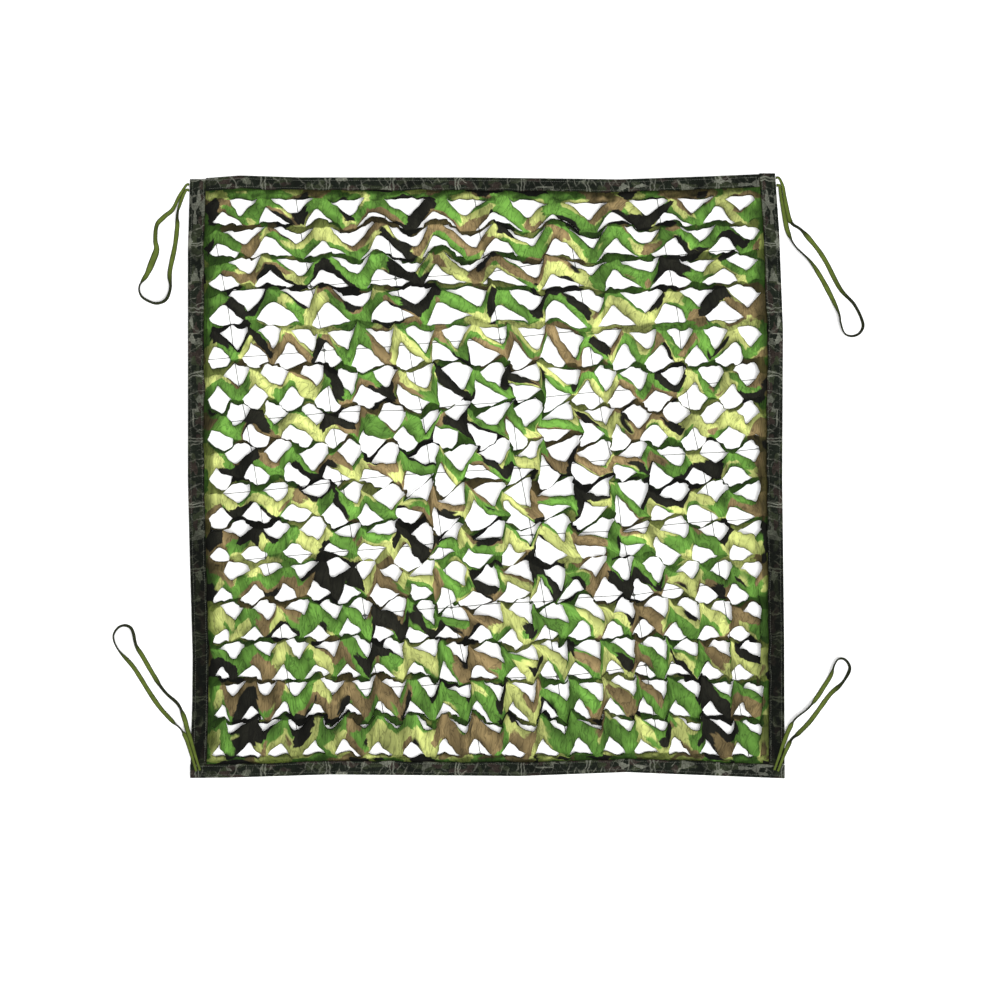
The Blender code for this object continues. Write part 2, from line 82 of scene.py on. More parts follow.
SEAMS = (5.0, 8.0)  # mm of the rows of stitches from a strip's inner and outer edges
SEAM_DIP = (0.6, 2.2)  # how much of the rise a row of stitches takes away, and its reach in mm
STITCH = {  # in mm, but for its sides, its bends along its length, and its shares' unevenness
    "pitch": 4.6, "length": 3.6, "thick": 0.55, "sink": 0.35, "margin": 8.0, "sides": 5,
    "bends": (0.0, 0.3, 0.7, 1.0), "uneven": 0.004,
}
CORNER_FLAT = (80.0, 70.0)  # a strip is pressed flat so far from its ends, and rises over so much
CORNER_RISE = 0.12  # how much of its rise is left there
BINDING_SHADE = (0.15, 0.7)  # how much darker it is all over, and more so down the sides' feet
BINDING_DARKENS = 300.0  # mm over which it grows darker there

# How the lattice varies over the net. Each table has a row for the net's top, upper, lower and
# foot zones, and columns from left to right.
PERIOD = (  # width of a repeat, against the others in its row
    (0.72, 1.12, 1.12, 0.74),
    (1.02, 0.96, 0.98, 1.06),
    (1.00, 0.96, 0.98, 1.04),
    (0.95, 1.00, 1.03, 0.98),
)
SKEW = (  # how far a trough lies right of the middle of its repeat, in repeats
    (0.04, 0.02, 0.02, -0.04),
    (0.04, 0.24, 0.22, -0.04),
    (-0.08, 0.21, 0.24, 0.18),
    (-0.22, 0.06, 0.20, 0.18),
)
RIBBON = (  # how tall a zigzag is, in row pitches
    (0.22, 0.29, 0.29, 0.21),
    (0.31, 0.29, 0.31, 0.31),
    (0.44, 0.42, 0.34, 0.42),
    (0.60, 0.68, 0.55, 0.60),
)
STRAND = (  # how tall a strand is, in row pitches
    (0.14, 0.17, 0.17, 0.14),
    (0.10, 0.10, 0.10, 0.10),
    (0.12, 0.10, 0.09, 0.10),
    (0.17, 0.17, 0.15, 0.16),
)
WAVE = (  # how far the bonds pull a strand up and down, in mm; below 0 it follows the zigzags
    (0, -17, -17, 0),
    (14, 15, 15, 14),
    (8, 6, 8, 8),
    (-14, -27, -27, -14),
)
RELIEF = (  # how far the sheet rises and falls, in mm
    (7, 7, 7, 7),
    (10, 11, 11, 10),
    (11, 12, 12, 11),
    (10, 10, 10, 10),
)
SHADE = (  # how much darker the cloth is, against the darkest
    (0.40, 0.12, 0.12, 0.40),
    (0.16, 0.00, 0.00, 0.16),
    (0.26, 0.02, 0.00, 0.26),
    (0.46, 0.34, 0.34, 0.46),
)
# The slits come in blocks of rows from the top down. Each row here is a block: its repeats across
# against the settings', and its share of the rows. A strand joins two blocks.
BLOCKS = ((0.67, 0.27), (1.0, 0.4), (1.15, 0.33))
JOINING_STRAND = 0.07  # how much taller that strand is, in row pitches
JOINING_WAVE = 0.85  # how far the bonds pull it, against the others
JOINING_SHADE = 0.6  # how dark it is, against the others
SIDE_PHASE = 0.25  # of a repeat, where the left and right edges cut the lattice
SELVEDGE = (13.0, 8.0, 60.0)  # mm of unslit cloth at the sides: width, unevenness and its length
BOND = 0.13  # of a repeat, half the width of a bond between two slits
TIP = 0.15  # of that, half the width of the tip that a zigzag's free edge turns in
BOND_TILT = 26.0  # mm that a bond's end lies higher or lower, for each repeat of skew
ARM_TWIST = 2.5  # mm that a zigzag's two edges are raised and lowered on its arms
TALL = 1457.0  # of the cloth that shows between the top and bottom binding
HEADER = 25.0  # mm of unslit cloth at the top
FOOTER = 20.0  # and at the foot
TIGHT_ROWS = 0.2  # share of the rows, from the top, that lie closer
TIGHT_PITCH = 0.77  # how close, against the others
UNEVEN = (0.08, 7.0, 2.0)  # how far a point of the lattice strays: x in repeats, y and z in mm
SWAY = (10.0, 130.0, 210.0)  # mm that the rows and columns wander in a long wave, its two lengths
WANDER = (15.0, 100.0)  # mm that they wander in a sum of shorter waves, and their length
CLOTH_LOW = 4.2  # mm above the ground where the sheet lies lowest
CLOTH_LEAST = 3.4  # and the least that its rumples leave
CLOTH_IN_BINDING = 3.6  # its height between the binding's legs
CLOTH_TUCK = 7.0  # mm that its edge lies inside the binding's outer edge
CLEAR = 12.0  # mm beside the binding over which the cloth's folds die out
# How much of the relief a line takes at a trough, and what a crest adds to that.
RISE = {"header": (0.7, 0.0), "upper": (0.3, 0.7), "lower": (0.0, 0.75), "strand_foot": (0.75, 0.25)}

# Each kind of strip between two of the lattice's lines: its rows of points as shares across it
# (rows beside an edge move to a hem's width from it), its height when flat, and its arch, pleats
# and level folds, all in mm.
BAND_ROWS = {
    "tuck": (0, 1),
    "header": (0, 0.12, 0.27, 0.42, 0.58, 0.73, 0.88, 1),
    "zigzag": (0, 0.01, 0.34, 0.66, 0.99, 1),
    "strand": (0, 0.01, 0.99, 1),
    "strand_top": (0, 0.01, 1),
    "strand_foot": (0, 0.99, 1),
}
BAND_FLAT = {
    "tuck": 26.0,
    "header": 34.0,
    "zigzag": 34.0,
    "strand": 20.0,
    "strand_top": 10.0,
    "strand_foot": 10.0,
}
BAND_FORM = {
    "tuck": (0.0, 0.0, 0.0),
    "header": (1.0, 0.8, 3.4),
    "zigzag": (1.6, 1.0, 0.0),
    "strand": (1.0, 1.8, 0.0),
    "strand_top": (0.0, 1.8, 0.0),
    "strand_foot": (0.0, 1.8, 0.0),
}
FLAT_WIDE = 1625.0  # mm of the sheet, before its slits are pulled open, without the sides
FLAT_SIDES = (0.035, 0.012)  # of that, how far out the sheet's edge and the binding's edge lie
HEM = 3.0  # mm
HEM_MOST = 0.3  # of a strip's height
HEM_TRIM = 0.4  # how much of a cut edge's shade reaches the row beside it
PLEAT_LENGTH = 22.0  # mm between the pleats
PLEAT_SPREAD = 0.35  # how stretched they are down the cloth
FOLD_LENGTH = 13.0  # mm between the header's level folds
FOLD_SPREAD = 0.2  # how stretched they are along the net
ARCH_UNEVEN = (0.8, 70.0)  # how much a strip's arch varies, and over what length in mm
STRAND_SHADE = 0.85  # how much darker a strand is, against the darkest cloth
ARM_SHADE = 0.55  # and a zigzag's rising arm
FOLD_SHADE = 0.8  # and a level fold's valley
SIDE_SHADE = 0.92  # and the cloth beside the binding
SIDE_SHADE_REACH = 42.0  # mm
SIDE_SHADE_UNEVEN = (0.5, 60.0)  # how much that reach varies, and over what length in mm
SIDE_SHADE_ENDS = 1.6  # how much narrower it is at the top and bottom
STRAND_CRUMPLE = (1.5, 14.0)  # mm that a strand strays besides, and over what length
CLOTH_RUMPLE = ((1.2, 40.0), (0.5, 15.0))  # mm up and down of two sums of waves, their lengths
CLOTH_STRAY = (1.6, 30.0)  # mm sideways of one more, and its length
# Fine columns between two of the lattice's, on an arm, a bond and at the two sides.
STEPS = {"arm": 3, "bond": 4, "left": (1, 2), "right": (2, 1)}
ROUNDS = (9, 3)  # smoothing of a zigzag's and a strand's edges
PINCH = (0.1, 0.6)  # least and most of its height that a strand loses where it hangs free

CORD_ROWS = (522, 350, 190, 15, -166, -330, -520)  # where each crosses x = 0
CORD_RISE = 0.086  # how steeply the level cords climb to the right
CORD_COLUMNS = (-590, -365, -140, 91, 320, 550)  # where each crosses y = 0
CORD_SLANT = -0.168  # how far the upright cords lean to the right
CORD_UNEVEN = 7.0  # mm that a knot strays
CORD_TUCK = 6.0  # mm that a cord's end goes in between the binding's legs
CORD_BOW = 3.0  # mm that it bows between two knots
CORD_LIFT = 1.4  # mm that its ends are raised
CORD_LIFT_POINTS = 3.0  # points from an end over which it comes down
CORD_STEPS = 12  # points between two knots
CORD_SIDES = 8
KNOT = {  # the size is a half width in mm, the others are shares of it
    "size": (3.4, 4.4), "ridge": 0.16, "narrow": 0.78, "flat": 0.36, "rows": 9, "sides": 14, "cap": 0.12,
}

# A row is a point of a tape loop's route, from its corner and back to it. Its columns are x, y,
# the lift (of the tape's lower edge above the ground) and turned (0 lies flat, 90 on edge).
TAPE_WIDE = 12.0  # mm
TAPE_STEP = 4.0  # mm between two of its sections
TAPE_SIDES = 14
TAPE_CLEAR = 0.2  # mm above the ground
TAPE_LEAST = 0.05  # and at the least
TAPE_MIDDLE = 0.6  # mm that a flat tape's middle lies above its lower edge
TAPE_UNEVEN = (0.05, 40.0)  # how much its width varies, and over what length in mm
TAPE_CUP = (0.35, 60.0)  # mm that its middle is cupped, and over what length
TAPE_STEEPEST = 58.0  # degrees that it leans where the table says on edge
TAPE_TURNS = (12.0, 38.0)  # degrees in the table over which the tape goes from flat to on edge
TAPE_PINCH = (0.42, 110.0)  # how much narrower it is at its corner, and how far out that reaches
TAPE_SWELL = {"tie_top_left": (-848.0, 548.0, 34.0, 0.5)}  # where it is wider: x, y, reach, share
TIES = {
    "tie_top_left": (
        (-755, 739, 0, 0), (-762, 739, 0, 0), (-780, 711, 0, 0), (-797, 677, 0, 0), (-819, 658, 0, 5),
        (-837, 637, 0, 26), (-841, 600, 0, 24), (-838, 575, 0, 10), (-848, 546, 0, 5), (-862, 513, 0, 10),
        (-881, 481, 0, 60), (-876, 457, 0, 80), (-856, 443, 0, 84), (-835, 438, 0, 80), (-813, 448, 0, 75),
        (-802, 478, 0, 55), (-804, 518, 0, 25), (-791, 584, 0, 20), (-785, 636, 0, 22), (-784, 666, 1.6, 60),
        (-776, 697, 1.6, 0), (-763, 725, 1.6, 0), (-755, 725, 1.6, 0),
    ),
    "tie_top_right": (
        (735, 757, 0, 0), (743, 757, 0, 0), (753, 735, 0, 0), (757, 710, 0, 0), (768, 656, 0, 5),
        (778, 638, 0, 65), (798, 625, 0, 50), (832, 588, 0, 5), (861, 546, 0, 15), (898, 475, 0, 30),
        (934, 434, 0, 60), (955, 388, 0, 80), (948, 364, 0, 84), (928, 355, 0, 84), (909, 362, 0, 80),
        (899, 388, 0, 60), (893, 417, 0, 40), (861, 484, 0, 10), (826, 540, 0, 35), (784, 583, 0, 60),
        (766, 618, 1.0, 20), (758, 652, 1.6, 0), (748, 706, 1.6, 0), (744, 737, 1.6, 0),
        (736.5, 737, 1.6, 0),
    ),
    "tie_bottom_left": (
        (-727, -747, 6.8, 0), (-739, -708, 6.8, 0), (-750, -670, 6.8, 0), (-759, -643, 6.0, 0),
        (-766, -618, 3.0, 5), (-782, -580, 0, 70), (-815, -549, 0, 70), (-844, -508, 0, 20),
        (-872, -460, 0, 15), (-889, -430, 0, 45), (-896, -399, 0, 75), (-904, -384, 0, 84),
        (-920, -379, 0, 84), (-937, -387, 0, 84), (-947, -409, 0, 75), (-934, -442, 0, 45),
        (-896, -486, 0, 20), (-853, -554, 0, 15), (-826, -592, 0, 20), (-796, -624, 0, 30),
        (-776, -641, 4.5, 70), (-763, -662, 8.4, 0), (-753, -692, 8.4, 0), (-739, -738, 8.4, 0),
        (-736, -749, 8.4, 0),
    ),
    "tie_bottom_right": (
        (730, -746, 6.8, 0), (743, -710, 6.8, 0), (750, -688, 6.8, 0), (758, -666, 6.8, 0),
        (769, -640, 5.0, 5), (784, -616, 1.5, 65), (814, -592, 0, 70), (838, -564, 0, 15),
        (855, -538, 0, 20), (874, -507, 0, 25), (883, -480, 0, 60), (893, -465, 0, 80),
        (908, -465, 0, 84), (920, -479, 0, 84), (920, -496, 0, 75), (902, -526, 0, 45),
        (873, -554, 0, 20), (845, -592, 0, 15), (819, -626, 0, 20), (791, -654, 0, 30),
        (775, -666, 4.5, 70), (765, -684, 8.4, 0), (754, -710, 8.4, 0), (742, -742, 8.4, 0),
        (739, -749, 8.4, 0),
    ),
}

SEEDS = {
    "tape_width": 3, "knots": 5, "tape_cup": 5, "wander": 7, "selvedge": 11, "lattice": 17, "cloth": 31,
    "cloth_fine": 37, "binding": 41, "stitches": 59, "cords": 67,
}

# The prints: how many blotches to a metre along and across, and the value above which a colour
# shows. The binding's go by a channel (0, 1 or 2) of a shard's random colour.
PRINT_SCALE = (8.0, 15.0)
PRINT_EDGES = {"Light": 0.535, "Earth": 0.58, "Dark": 0.6}
PRINT_STARTS = {"Light": (3.1, 7.7, 0.0), "Earth": (11.3, 1.9, 0.0), "Dark": (5.7, 17.3, 0.0)}
PRINT_BLOTCH = {"Scale": 1.0, "Detail": 1.6, "Roughness": 0.55}
PRINT_WOBBLE = (9.0, 0.16)  # how fine its edges' roughness is and how far it reaches, in blotches
PRINT_SOFT = 0.008
SHARD_SCALE = (45.0, 90.0)
SHARD_EDGES = ((0, 0.93), (1, 0.62), (2, 0.45))
SHARD_SOFT = 0.02
MARKS = {  # on the binding: the repeat in metres, then shares of it
    "repeat": 0.165, "wedge": 0.42, "pair": 0.56, "apart": 0.024, "stray": 0.03, "line": (0.006, 0.014),
    "leg": (0.046, 0.082),  # metres round the strip, where its upper leg lies
    "uneven": 35.0,  # the scale of the noise that they stray by
    "faint": 0.6,  # how strong a wedge is
}
WORN_SLANTS = (25.0, -50.0)  # degrees, of the thin lines worn light on the binding
WORN = {"scale": 16.0, "crest": 0.9, "wear": 40.0, "rubbed": (0.42, 0.6), "strength": 0.4}

# What the materials go by. A tone is the least and the most of a factor on the colour, and a
# bump is its strength and its depth in metres.
ROUGHNESS = {"cloth": 0.85, "binding": 0.9, "thread": 0.7, "tape": 0.8, "cord": 0.75}
SPECULAR = 0.12
NOISE_ENDS = (0.3, 0.7)  # between which nearly all of a noise's values lie
TAPE_LOOK = {
    "ribs": 260.0, "picks": 330.0, "dirt": 45.0, "tone": (0.75, 1.2), "bound": 0.07, "on_edge": 0.14,
    "bump": (0.5, 0.0006),
}
CORD_LOOK = {"twist": 250.0, "tone": (0.6, 1.25), "bump": (0.6, 0.0005)}
CUT_EDGE = {"net": 0.08, "binding": 0.3}  # how light a cut edge is: the melted cut's colour, and on the net also painted shade where an edge curls under
WEAVE = {"threads": 300.0, "slub": 60.0, "tone": (0.72, 1.2), "bump": (0.15, 0.0003)}
PATCHES = {"scale": 14.0, "tone": (0.6, 1.5), "ends": (0.32, 0.68)}
CREASES = {  # the scale along and across and the strength on each cloth, in metres where deep; tone is painted shade, darker along the creases' lines
    "net": (60.0, 20.0, 0.8), "binding": (120.0, 90.0, 1.0), "tone": (0.55, 1.03), "wide": 0.03,
    "deep": 0.008,
}
SHADED_TINT = (0.09, 0.115, 0.05)

FLOOR_HALF = 9.0  # metres
FLOOR_LOW = 0.0004  # metres under the net


# ---- numbers and meshes ----


def side_at(side, along):
    """How far across the net's edge lies on a side, at a place along it."""
    places, across = np.array(OUTLINE[side], dtype=float).T
    return np.interp(along, places, across)


def inner_side(side, along):
    """The same for the binding's inner edge."""
    inward = {"left": 1, "bottom": 1, "right": -1, "top": -1}[side]
    return side_at(side, along) + inward * BINDING_WIDTH[side]


def zone(table, across, down):
    """Blend a 4 x 4 table of the net's zones at shares across and down it, each 0 to 1."""
    table = np.array(table, dtype=float)
    column = np.clip(across, 0, 1) * 3
    row = np.clip(down, 0, 1) * 3
    left = np.minimum(np.floor(column).astype(int), 2)
    above = np.minimum(np.floor(row).astype(int), 2)
    right_share = column - left
    below_share = row - above
    upper = table[above, left] * (1 - right_share) + table[above, left + 1] * right_share
    lower = table[above + 1, left] * (1 - right_share) + table[above + 1, left + 1] * right_share
    return upper * (1 - below_share) + lower * below_share


def smooth_step(value):
    """0 below 0, 1 above 1, and 3 v^2 - 2 v^3 between."""
    value = np.clip(value, 0, 1)
    return value * value * (3 - 2 * value)


def rumple(x, y, size, seed, waves=9):
    """Smooth unevenness of about -1 to 1 over a plane: a sum of sine waves of about one length,
    each with its own direction, length and phase, divided by the square root of their number."""
    rng = np.random.default_rng(seed)
    angle = rng.uniform(0, 2 * np.pi, waves)
    length = size * rng.uniform(0.7, 1.6, waves)
    phase = rng.uniform(0, 2 * np.pi, waves)
    total = 0
    for a, l, p in zip(angle, length, phase):
        total = total + np.sin((x * np.cos(a) + y * np.sin(a)) * 2 * np.pi / l + p)
    return total / np.sqrt(waves)


def refine(values, steps):
    """Each interval between two columns becomes its number of equal parts, on a straight line."""
    low = np.append(np.repeat(np.arange(len(steps)), steps), len(steps) - 1)
    first = np.cumsum(steps) - steps
    share = (np.arange(len(low)) - first[low]) / steps[low]
    share = share.reshape(1, -1, *[1] * (values.ndim - 2))
    return values[:, low] * (1 - share) + values[:, low + 1] * share


def make_piece(name, points, faces, material, uv=None, **values):
    """An object from points in metres, faces, one UV pair a point, and one number a point for
    each named attribute. Points that no face uses are dropped."""
    points = np.asarray(points, dtype=float).reshape(-1, 3)
    sizes = np.array([len(face) for face in faces])
    corners = np.concatenate([np.asarray(face, dtype=int) for face in faces])
    used, corners = np.unique(corners, return_inverse=True)
    mesh = bpy.data.meshes.new(name)
    mesh.vertices.add(len(used))
    mesh.vertices.foreach_set("co", points[used].astype(np.float32).ravel())
    mesh.loops.add(len(corners))
    mesh.loops.foreach_set("vertex_index", corners.astype(np.int32))
    mesh.polygons.add(len(sizes))
    starts = np.concatenate(([0], np.cumsum(sizes)[:-1]))
    mesh.polygons.foreach_set("loop_start", starts.astype(np.int32))
    mesh.update(calc_edges=True)
    if uv is not None:
        pairs = np.asarray(uv, dtype=float).reshape(-1, 2)[used][corners]
        mesh.uv_layers.new(name="UVMap").data.foreach_set("uv", pairs.astype(np.float32).ravel())
    for key, value in values.items():
        layer = mesh.attributes.new(key, "FLOAT", "POINT")
        layer.data.foreach_set("value", np.asarray(value, dtype=float).ravel()[used].astype(np.float32))
    mesh.validate()
    mesh.shade_smooth()
    mesh.materials.append(material)
    piece = bpy.data.objects.new(name, mesh)
    bpy.context.scene.collection.objects.link(piece)
    return piece


def settle(piece, slot, *nodes):
    """The piece moves with the frame and stands for CAD nodes, whose own meshes it hides. Its slot is not
    used.
    """
    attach(piece, "root")
    if nodes:
        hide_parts(*nodes)


def grid_faces(rows, columns, around=False):
    """Quads over a grid of points, which may close round its columns."""
    row = np.arange(rows - 1)[:, None] * columns
    column = np.arange(columns if around else columns - 1)[None, :]
    a = row + column
    b = row + (column + 1) % columns
    return np.stack((a, b, b + columns, a + columns), axis=2).reshape(-1, 4)


def tube(rings):
    """Points and faces of a closed tube through an array of rings x sides x 3: the grid's quads
    and a cap at each end."""
    count, sides = rings.shape[:2]
    quads = [tuple(face) for face in grid_faces(count, sides, around=True).tolist()]
    first = tuple(range(sides))[::-1]
    last = tuple(range((count - 1) * sides, count * sides))
    return rings.reshape(-1, 3), quads + [first, last]


def smooth_route(rows, step):
    """Points about a step apart on a smooth curve (Catmull-Rom) through a table's rows."""
    rows = np.array(rows, dtype=float)
    ends = np.concatenate(([2 * rows[0] - rows[1]], rows, [2 * rows[-1] - rows[-2]]))
    share = np.linspace(0, 1, 16, endpoint=False)[:, None]
    curve = []
    for before, start, stop, after in zip(ends, ends[1:], ends[2:], ends[3:]):
        bend = 2 * before - 5 * start + 4 * stop - after
        swing = 3 * start - before - 3 * stop + after
        curve.append(start + ((stop - before) * share + bend * share**2 + swing * share**3) / 2)
    curve = np.concatenate(curve + [rows[-1:]])
    lengths = np.concatenate(([0.0], np.cumsum(np.linalg.norm(np.diff(curve[:, :2], axis=0), axis=1))))
    at = np.linspace(0, lengths[-1], round(lengths[-1] / step) + 1)
    return np.stack([np.interp(at, lengths, column) for column in curve.T], axis=1)


# ---- materials ----


def add_node(tree, kind, inputs=(), **settings):
    """A node with its settings. inputs gives what its sockets hold, by name or number: a number,
    a colour, or the socket of another node that is linked to it."""
    made = tree.nodes.new(kind)
    for key, value in settings.items():
        setattr(made, key, value)
    for key, value in dict(inputs).items():
        if isinstance(value, bpy.types.NodeSocket):
            tree.links.new(value, made.inputs[key])
        else:
            made.inputs[key].default_value = value
    return made


def new_group(name, inputs, outputs):
    """A shader node group with named sockets, its tree, input node and output node."""
    tree = bpy.data.node_groups.new(name, "ShaderNodeTree")
    for key, (kind, value) in inputs.items():
        socket = tree.interface.new_socket(name=key, in_out="INPUT", socket_type=kind)
        if value is not None:
            socket.default_value = value
    for key, kind in outputs.items():
        tree.interface.new_socket(name=key, in_out="OUTPUT", socket_type=kind)
    return tree, tree.nodes.new("NodeGroupInput"), tree.nodes.new("NodeGroupOutput")


def placed_group(tree, name, maker, inputs):
    """The outputs of a node group placed in a material. It is made when first asked for."""
    effect = bpy.data.node_groups.get(name) or maker()
    return add_node(tree, "ShaderNodeGroup", inputs, node_tree=effect).outputs


def reckon(tree, operation, first, second=0.0):
    """A Math node on one or two values, each a socket or a number."""
    return add_node(tree, "ShaderNodeMath", {0: first, 1: second}, operation=operation).outputs[0]


def value_range(tree, value, low, high, start=0.0, stop=1.0):
    """A value from start to stop, spread over low to high."""
    ends = {"Value": value, "From Min": start, "From Max": stop, "To Min": low, "To Max": high}
    return add_node(tree, "ShaderNodeMapRange", ends).outputs["Result"]


def attribute(tree, name):
    """A point attribute of the mesh."""
    return add_node(tree, "ShaderNodeAttribute", attribute_name=name).outputs["Fac"]


def surface_place(tree):
    """The place on a piece's own surface, its UV map in metres."""
    return add_node(tree, "ShaderNodeTexCoord").outputs["UV"]


def scaled_place(tree, place, scale):
    """A texture place stretched by a scale along and across."""
    return add_node(tree, "ShaderNodeMapping", {"Vector": place, "Scale": (*scale, 1.0)}).outputs["Vector"]


def noise(tree, place, scale, detail, distortion=0.0):
    """The value of a noise pattern."""
    inputs = {"Vector": place, "Scale": scale, "Detail": detail, "Distortion": distortion}
    return add_node(tree, "ShaderNodeTexNoise", inputs).outputs["Fac"]


def waves(tree, place, scale, distortion, direction="X", detail=2.0, detail_scale=1.0):
    """The value of a pattern of even waves."""
    inputs = {
        "Vector": place, "Scale": scale, "Distortion": distortion,
        "Detail": detail, "Detail Scale": detail_scale,
    }
    return add_node(tree, "ShaderNodeTexWave", inputs, bands_direction=direction).outputs["Fac"]


def plain_colour(tree, colour):
    """A colour's own socket."""
    made = add_node(tree, "ShaderNodeRGB")
    made.outputs[0].default_value = (*colour, 1.0)
    return made.outputs[0]


def mix(tree, factor, under, over, blend="MIX"):
    """A colour laid over another by a factor. The colour over it is a socket or three numbers."""
    if not isinstance(over, bpy.types.NodeSocket):
        over = (*over, 1.0)
    inputs = {"Factor": factor, 6: under, 7: over}
    return add_node(tree, "ShaderNodeMix", inputs, data_type="RGBA", blend_type=blend).outputs[2]


def times(tree, colour, value):
    """A colour made lighter or darker by a value."""
    inputs = {0: colour, "Scale": value}
    return add_node(tree, "ShaderNodeVectorMath", inputs, operation="SCALE").outputs[0]


def bump(tree, shader, height, strength, distance):
    """Turns a height into the shader's normal, over any bump already there."""
    inputs = {"Height": height, "Strength": strength, "Distance": distance}
    socket = shader.inputs["Normal"]
    if socket.is_linked:
        inputs["Normal"] = socket.links[0].from_socket
    tree.links.new(add_node(tree, "ShaderNodeBump", inputs).outputs["Normal"], socket)


def print_group():
    """A four-colour camouflage print. Three noise patterns, each cut off sharply, lay their
    colours over the ground in turn. A finer noise roughens their edges."""
    inputs = {"Vector": ("NodeSocketVector", None), "Softness": ("NodeSocketFloat", PRINT_SOFT)}
    for key in ("Ground", *PRINT_EDGES):
        inputs[key] = ("NodeSocketColor", None)
    for key, edge in PRINT_EDGES.items():
        inputs[key + " edge"] = ("NodeSocketFloat", edge)
    tree, source, result = new_group("camouflage_print", inputs, {"Color": "NodeSocketColor"})
    place, soft = source.outputs["Vector"], source.outputs["Softness"]
    fine, reach = PRINT_WOBBLE
    wobble = add_node(tree, "ShaderNodeTexNoise", {"Vector": place, "Scale": fine, "Detail": 2.0})
    about = {0: wobble.outputs["Color"], 1: (0.5, 0.5, 0.5)}
    centred = add_node(tree, "ShaderNodeVectorMath", about, operation="SUBTRACT")
    moves = {0: centred.outputs[0], 1: (reach, reach, reach), 2: place}
    shifted = add_node(tree, "ShaderNodeVectorMath", moves, operation="MULTIPLY_ADD")
    base = source.outputs["Ground"]
    for key, start in PRINT_STARTS.items():
        moved = add_node(tree, "ShaderNodeMapping", {"Vector": shifted.outputs[0], "Location": start})
        pattern = {"Vector": moved.outputs["Vector"], **PRINT_BLOTCH}
        blotch = add_node(tree, "ShaderNodeTexNoise", pattern, noise_dimensions="2D")
        edge = source.outputs[key + " edge"]
        low, high = (reckon(tree, operation, edge, soft) for operation in ("SUBTRACT", "ADD"))
        cut = value_range(tree, blotch.outputs["Fac"], 0.0, 1.0, low, high)
        base = mix(tree, cut, base, source.outputs[key])
    tree.links.new(base, result.inputs["Color"])
    return tree


def weave_group():
    """A plain weave: the higher of two crossing rows of rounded threads, and a thread's tone."""
    inputs = {"Vector": ("NodeSocketVector", None), "Threads": ("NodeSocketFloat", WEAVE["threads"])}
    outputs = {"Height": "NodeSocketFloat", "Tone": "NodeSocketFloat"}
    tree, source, result = new_group("plain_weave", inputs, outputs)
    place, threads = source.outputs["Vector"], source.outputs["Threads"]
    across, along = (waves(tree, place, threads, 0.6, direction, 1.0) for direction in ("X", "Y"))
    tree.links.new(reckon(tree, "MAXIMUM", across, along), result.inputs["Height"])
    tone = value_range(tree, noise(tree, place, WEAVE["slub"], 3.0), *WEAVE["tone"], *NOISE_ENDS)
    tree.links.new(tone, result.inputs["Tone"])
    return tree


def crumple_group():
    """Sharp crumples: 1 on the thin borders between warped Voronoi cells and 0 away from them,
    and one random value for each cell."""
    inputs = {"Vector": ("NodeSocketVector", None), "Width": ("NodeSocketFloat", 0.05)}
    outputs = {"Line": "NodeSocketFloat", "Cell": "NodeSocketColor"}
    tree, source, result = new_group("crumple", inputs, outputs)
    place = source.outputs["Vector"]
    warp = add_node(tree, "ShaderNodeTexNoise", {"Vector": place, "Scale": 2.0, "Detail": 2.0})
    shifted = add_node(
        tree, "ShaderNodeVectorMath", {0: warp.outputs["Color"], 1: (0.5, 0.5, 0.5), 2: place},
        operation="MULTIPLY_ADD",
    )
    cells = {"Vector": shifted.outputs[0], "Scale": 1.0}
    border = add_node(
        tree, "ShaderNodeTexVoronoi", cells, feature="DISTANCE_TO_EDGE", voronoi_dimensions="2D"
    )
    cell = add_node(
        tree, "ShaderNodeTexVoronoi", cells, feature="F1", voronoi_dimensions="2D", distance="MANHATTAN"
    )
    line = value_range(tree, border.outputs["Distance"], 1.0, 0.0, 0.0, source.outputs["Width"])
    tree.links.new(line, result.inputs["Line"])
    tree.links.new(cell.outputs["Color"], result.inputs["Cell"])
    return tree


def new_material(name):
    """A fabric material, its tree, and its Principled shader with constants on its sockets."""
    material = bpy.data.materials.new(name)
    material.use_nodes = True
    tree = material.node_tree
    shader = tree.nodes["Principled BSDF"]
    shader.inputs["Roughness"].default_value = ROUGHNESS[name]
    shader.inputs["Specular IOR Level"].default_value = SPECULAR
    return material, tree, shader


def cloth_shader(tree, shader, place, colour, kind):
    """What both printed cloths share over their print. Soft patches and the threads tone it, cut
    edges and shaded places are darker, and sharp crumples, long creases and the weave are bump.
    The cut edges' darkness is partly the melted cut and, on the net, partly painted shade where an
    edge curls under; the shaded places and the long creases' dark lines are painted shade.
    kind is net or binding, as in the tables of the materials' numbers."""
    *spread, strength = CREASES[kind]
    edge = CUT_EDGE[kind]
    weave = placed_group(tree, "plain_weave", weave_group, {"Vector": place})
    crumple = placed_group(tree, "crumple", crumple_group, {"Vector": scaled_place(tree, place, spread)})
    rough = noise(tree, scaled_place(tree, place, spread), 1.3, 3.0, 0.6)
    crease = reckon(tree, "ABSOLUTE", reckon(tree, "SUBTRACT", rough, 0.5))
    patches = noise(tree, place, PATCHES["scale"], 1.0)
    # The third tone is painted shade: the long creases' lines are darker.
    for tone in (
        weave["Tone"],
        value_range(tree, patches, *PATCHES["tone"], *PATCHES["ends"]),
        value_range(tree, crease, *CREASES["tone"], 0.0, CREASES["wide"]),
    ):
        colour = times(tree, colour, tone)
    # Painted shade on the shaded places (dark), and along cut edges (trim), which is partly the melted cut.
    for key, tint in (("dark", SHADED_TINT), ("trim", (edge, edge, 0.5 * edge))):
        colour = mix(tree, attribute(tree, key), colour, tint, "MULTIPLY")
    tree.links.new(colour, shader.inputs["Base Color"])
    bump(tree, shader, crease, strength, CREASES["deep"])
    bump(tree, shader, value_range(tree, crumple["Line"], 0.0, -0.2), strength, CREASES["deep"])
    bump(tree, shader, weave["Height"], *WEAVE["bump"])


